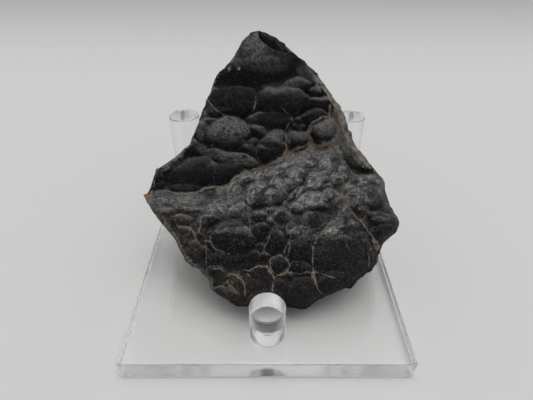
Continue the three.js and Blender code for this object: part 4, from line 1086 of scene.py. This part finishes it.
# Metal grey for the painted sheen, where the lumps face the light.
METAL_SHEEN_GREY = (0.42, 0.417, 0.41, 1)
GLOSSY_BREAK = (0.004, 0.004, 0.0045, 1)
BREAK_DARK, BREAK_LIGHT = (0.024, 0.021, 0.018, 1), (0.14, 0.121, 0.102, 1)
PALE_DARK, PALE_LIGHT = (0.11, 0.105, 0.097, 1), (0.24, 0.226, 0.205, 1)
GROOVE_DUST = (0.085, 0.077, 0.066, 1)
# Grey laid where the painted sheen is: partly powder and partly painted light.
GREY_POWDER_AND_SHEEN = (0.132, 0.129, 0.124, 1)
TAN_DUST = (0.24, 0.2, 0.155, 1)
RUST = (0.3, 0.185, 0.095, 1)
CRUST_ROUGHNESS = 0.40
CRUST_IOR = 1.23
RELIEF_DEPTH = 0.0008
BEADING_PER_MM = 0.75

crust = Shader("hematite")
tan_dust = crust.mask("tan_dust")
broken = crust.mask("broken")
grainy = crust.mask("grainy")
shelf = crust.mask("shelf")
seam = crust.mask("seam")
shell = crust.mask("shell_break")
# Noises by the size of their patches in millimetres, from slow clouds to fine grain.
cloud = crust.noise(7.0, 4.0, 0.6)
patchy = crust.noise(2.6, 4.0, 0.62, shift=5.0)
fine = crust.noise(0.7, 4.0, 0.6, shift=3.0)
tiny = crust.noise(0.45, 3.0, 0.65, shift=7.0)
fleck = crust.noise(0.6, 2.0, 0.7, shift=9.0).between(0.46, 0.59)
blotch = crust.noise(1.3, 3.0, 0.6, shift=13.0).between(0.38, 0.62)
rough_edge = fine.between(0.3, 0.7)
# Hairline wrinkles run where a slow noise passes through its middle value.
fold = crust.noise(3.2, 3.0, 0.55, shift=17.0) - 0.5
wrinkle = (1.0 - 14.0 * fold.math("ABSOLUTE", fold)).clamp()


def covered(name, reach=1.5):
    """How much a mask covers, with its edges broken up by noise."""
    return ((crust.mask(name) * reach + rough_edge - 1.0) * 1.2).clamp()


# Dark crust with a brown cast, bright specks, broken stone and dust in the seams.
metal_grey = crust.mix(blotch, BLACK_CRUST, GREY_CRUST)
stone_brown = crust.mix(crust.mask("brown_cast") * 0.7, metal_grey, BROWN_CRUST)
polished = crust.mask("polished")
specks = tiny.between(0.53, 0.62) * (0.25 + 0.75 * patchy.between(0.35, 0.55))
specks = specks * (1 - shell) * (1 - 0.6 * polished)
specked = crust.mix(specks * 0.6, stone_brown, BRIGHT_SPECKS)
broken_tone = crust.mix(fine.between(0.35, 0.7), BREAK_DARK, BREAK_LIGHT)
broken_amount = (broken * (0.15 + 0.85 * patchy.between(0.4, 0.58))).clamp()
with_breaks = crust.mix(broken_amount, specked, broken_tone)
grooved = crust.mix(seam * (0.5 - 0.4 * shelf) * rough_edge, with_breaks, GROOVE_DUST)

# Grey powder with painted sheen on the lumps above the valley, and dust with painted sheen on the
# shelf's low ground; then a painted metal sheen where the lumps face the light, less in the seams as
# painted shade.
painted_sheen = crust.mask("painted_sheen") * (1 - shell)
low_ground = crust.mask("low_ground")
speckle = fleck + polished * 0.7 * (0.45 - fleck)
powder_and_sheen = painted_sheen * (0.05 + 0.35 * blotch + 1.1 * speckle) * (1 - shelf)
shelf_dust_and_sheen = shelf * low_ground * (0.15 + 0.85 * painted_sheen)
powder_and_sheen = powder_and_sheen + shelf_dust_and_sheen * (0.5 + 0.5 * fleck + 0.4 * wrinkle)
powdered_and_sheen = crust.mix(powder_and_sheen.clamp(), grooved, GREY_POWDER_AND_SHEEN)
painted_highlight = crust.mask("painted_highlight")
highlight_strength = 0.2 * (1 - shelf) + shelf * (0.35 + 0.35 * painted_sheen + 1.1 * painted_highlight) * (1 - 0.5 * low_ground)
painted_metal_sheen = painted_sheen * highlight_strength * (0.08 + 0.4 * blotch + 0.7 * speckle + 0.7 * wrinkle) * (1 - 0.35 * seam)
with_metal_sheen = crust.mix(painted_metal_sheen.clamp(), powdered_and_sheen, METAL_SHEEN_GREY)

# The pale rim, the tan dust, the rust spots and the glossy break lie over all that.
pale = covered("pale_break", 1.8)
pale_tone = crust.mix(patchy.between(0.35, 0.65), PALE_DARK, PALE_LIGHT)
paled = crust.mix(pale, with_metal_sheen, pale_tone)
dust = (covered("tan_dust", 1.9) + 0.45 * shelf * seam * rough_edge).clamp()
dusty = crust.mix(dust, paled, TAN_DUST)
rusted = crust.mix(covered("rusty"), dusty, RUST)
glossed = crust.mix(shell * 0.9, rusted, GLOSSY_BREAK)

glint = (grainy + 0.6 * shelf) * tiny.between(0.52, 0.64)
dullness = CRUST_ROUGHNESS - 0.1 * shelf + 0.12 * cloud + 0.16 * broken + 0.3 * tan_dust
dullness = dullness + 0.05 * fine - 0.16 * glint - 0.2 * shell
pebbles = crust.noise(1.5, 3.0, 0.6, shift=11.0)
beading = crust.node(
    "ShaderNodeTexVoronoi", {"feature": "SMOOTH_F1"}, crust.place, Scale=BEADING_PER_MM, Smoothness=0.3,
)
relief = 0.9 * pebbles + (0.6 + 0.5 * shelf) * fine
relief = relief + 0.35 * tiny * (0.4 + grainy + 0.5 * broken + 0.6 * shelf)
relief = (relief - (0.15 + 0.6 * shelf + 0.5 * grainy) * beading) * (1 - 0.9 * shell)
bumped = crust.node("ShaderNodeBump", {}, Strength=1.0, Distance=RELIEF_DEPTH, Height=relief)
crust.set(
    Base_Color=glossed, Metallic=(painted_metal_sheen - tan_dust - pale - shell).clamp(),
    Roughness=dullness.clamp(), Normal=bumped, IOR=CRUST_IOR,
)
stone_mesh.materials.append(crust.material)


# ---- Acrylic stand ------------------------------------------------------------
# A square plate of clear acrylic with three pegs cemented on with clear cement,
# so that light passes from peg to plate as through one block.

PEG_NAMES = ("front_peg", "back_left_peg", "back_right_peg")
CLEAR = (1, 1, 1, 1)
ACRYLIC_IOR = 1.49
SAWN_ROUGHNESS = 0.26
PLATE_BEVEL = 0.0006
PLATE_BEVEL_STEPS = 3
PEG_BEVEL = 0.0004
PEG_BEVEL_STEPS = 4
PEG_SEGMENTS = 96
PEG_SUNK = 0.002
FLAT_FACE_AREA = 0.0001
SHARP_FROM = math.radians(40)
plate_low, plate_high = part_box("base_plate")


def block_mesh(name, low, high):
    """A closed box between two corners."""
    mesh = bpy.data.meshes.new(name)
    xs, ys, zs = zip(low, high)
    corners = [(x, y, z) for z in zs for y in ys for x in xs]
    sides = [(0, 1, 5, 4), (1, 3, 7, 5), (3, 2, 6, 7), (2, 0, 4, 6)]
    mesh.from_pydata(corners, [], [(0, 2, 3, 1), (4, 5, 7, 6)] + sides)
    return mesh


def peg_mesh(name, low, high):
    """A closed round bar of the box's width, its profile carried once round, with a small
    bevel at its top and its foot sunk a little into the plate."""
    radius = (high[0] - low[0]) / 2
    centre_x = (low[0] + high[0]) / 2
    centre_y = (low[1] + high[1]) / 2
    lean = np.linspace(0, math.pi / 2, PEG_BEVEL_STEPS + 1)
    ring_radius = np.concatenate(([radius, radius], radius - PEG_BEVEL * (1 - np.cos(lean))))
    ring_height = np.concatenate((
        [low[2] - PEG_SUNK, high[2] - 1.5 * PEG_BEVEL], high[2] - PEG_BEVEL * (1 - np.sin(lean)),
    ))
    angle = np.linspace(0, 2 * math.pi, PEG_SEGMENTS, endpoint=False)
    points = np.stack([
        centre_x + np.outer(ring_radius, np.cos(angle)),
        centre_y + np.outer(ring_radius, np.sin(angle)),
        np.outer(ring_height, np.ones(PEG_SEGMENTS)),
    ], -1).reshape(-1, 3)
    numbers = np.arange(len(points)).reshape(len(ring_radius), PEG_SEGMENTS)
    numbers = np.column_stack((numbers, numbers[:, 0]))
    sides = quads(numbers)[:, ::-1].tolist()
    mesh = bpy.data.meshes.new(name)
    ends = [numbers[0, -2::-1].tolist(), numbers[-1, :-1].tolist()]
    mesh.from_pydata(points.tolist(), [], sides + ends)
    return mesh


stand = bpy.data.objects.new("acrylic_stand", block_mesh("acrylic_stand", plate_low, plate_high))
scene.collection.objects.link(stand)
bevel = stand.modifiers.new("polished_edges", "BEVEL")
bevel.width = PLATE_BEVEL
bevel.segments = PLATE_BEVEL_STEPS
for peg_name in PEG_NAMES:
    peg = bpy.data.objects.new(peg_name + "_round", peg_mesh(peg_name + "_round", *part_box(peg_name)))
    scene.collection.objects.link(peg)
    join = stand.modifiers.new("cement_" + peg_name, "BOOLEAN")
    join.operation = "UNION"
    join.solver = "EXACT"
    join.object = peg

evaluated = stand.evaluated_get(bpy.context.evaluated_depsgraph_get())
stand_mesh = bpy.data.meshes.new_from_object(evaluated)
stand.modifiers.clear()
stand.data = stand_mesh
for peg_name in PEG_NAMES:
    bpy.data.objects.remove(bpy.data.objects[peg_name + "_round"])
# The large flat faces keep their own normals, and only the rounded ones are smoothed.
stand_mesh.set_sharp_from_angle(angle=SHARP_FROM)
stand_mesh.polygons.foreach_set(
    "use_smooth", [face.area < FLAT_FACE_AREA for face in stand_mesh.polygons],
)
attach(stand, "root")
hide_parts("base_plate", "front_peg", "back_left_peg", "back_right_peg")

acrylic = Shader("clear_acrylic")
acrylic.set(Base_Color=CLEAR, Roughness=0.0, IOR=ACRYLIC_IOR, Transmission_Weight=1.0)
# The plate was sawn: its four sides are only half polished.
sawn = Shader("sawn_acrylic")
sawn.set(Base_Color=CLEAR, Roughness=SAWN_ROUGHNESS, IOR=ACRYLIC_IOR, Transmission_Weight=1.0)
stand_mesh.materials.clear()
stand_mesh.materials.append(acrylic.material)
stand_mesh.materials.append(sawn.material)
stand_mesh.polygons.foreach_set("material_index", [
    int(face.area > FLAT_FACE_AREA and abs(face.normal.z) < 0.5 and face.center.z < plate_high[2])
    for face in stand_mesh.polygons
])
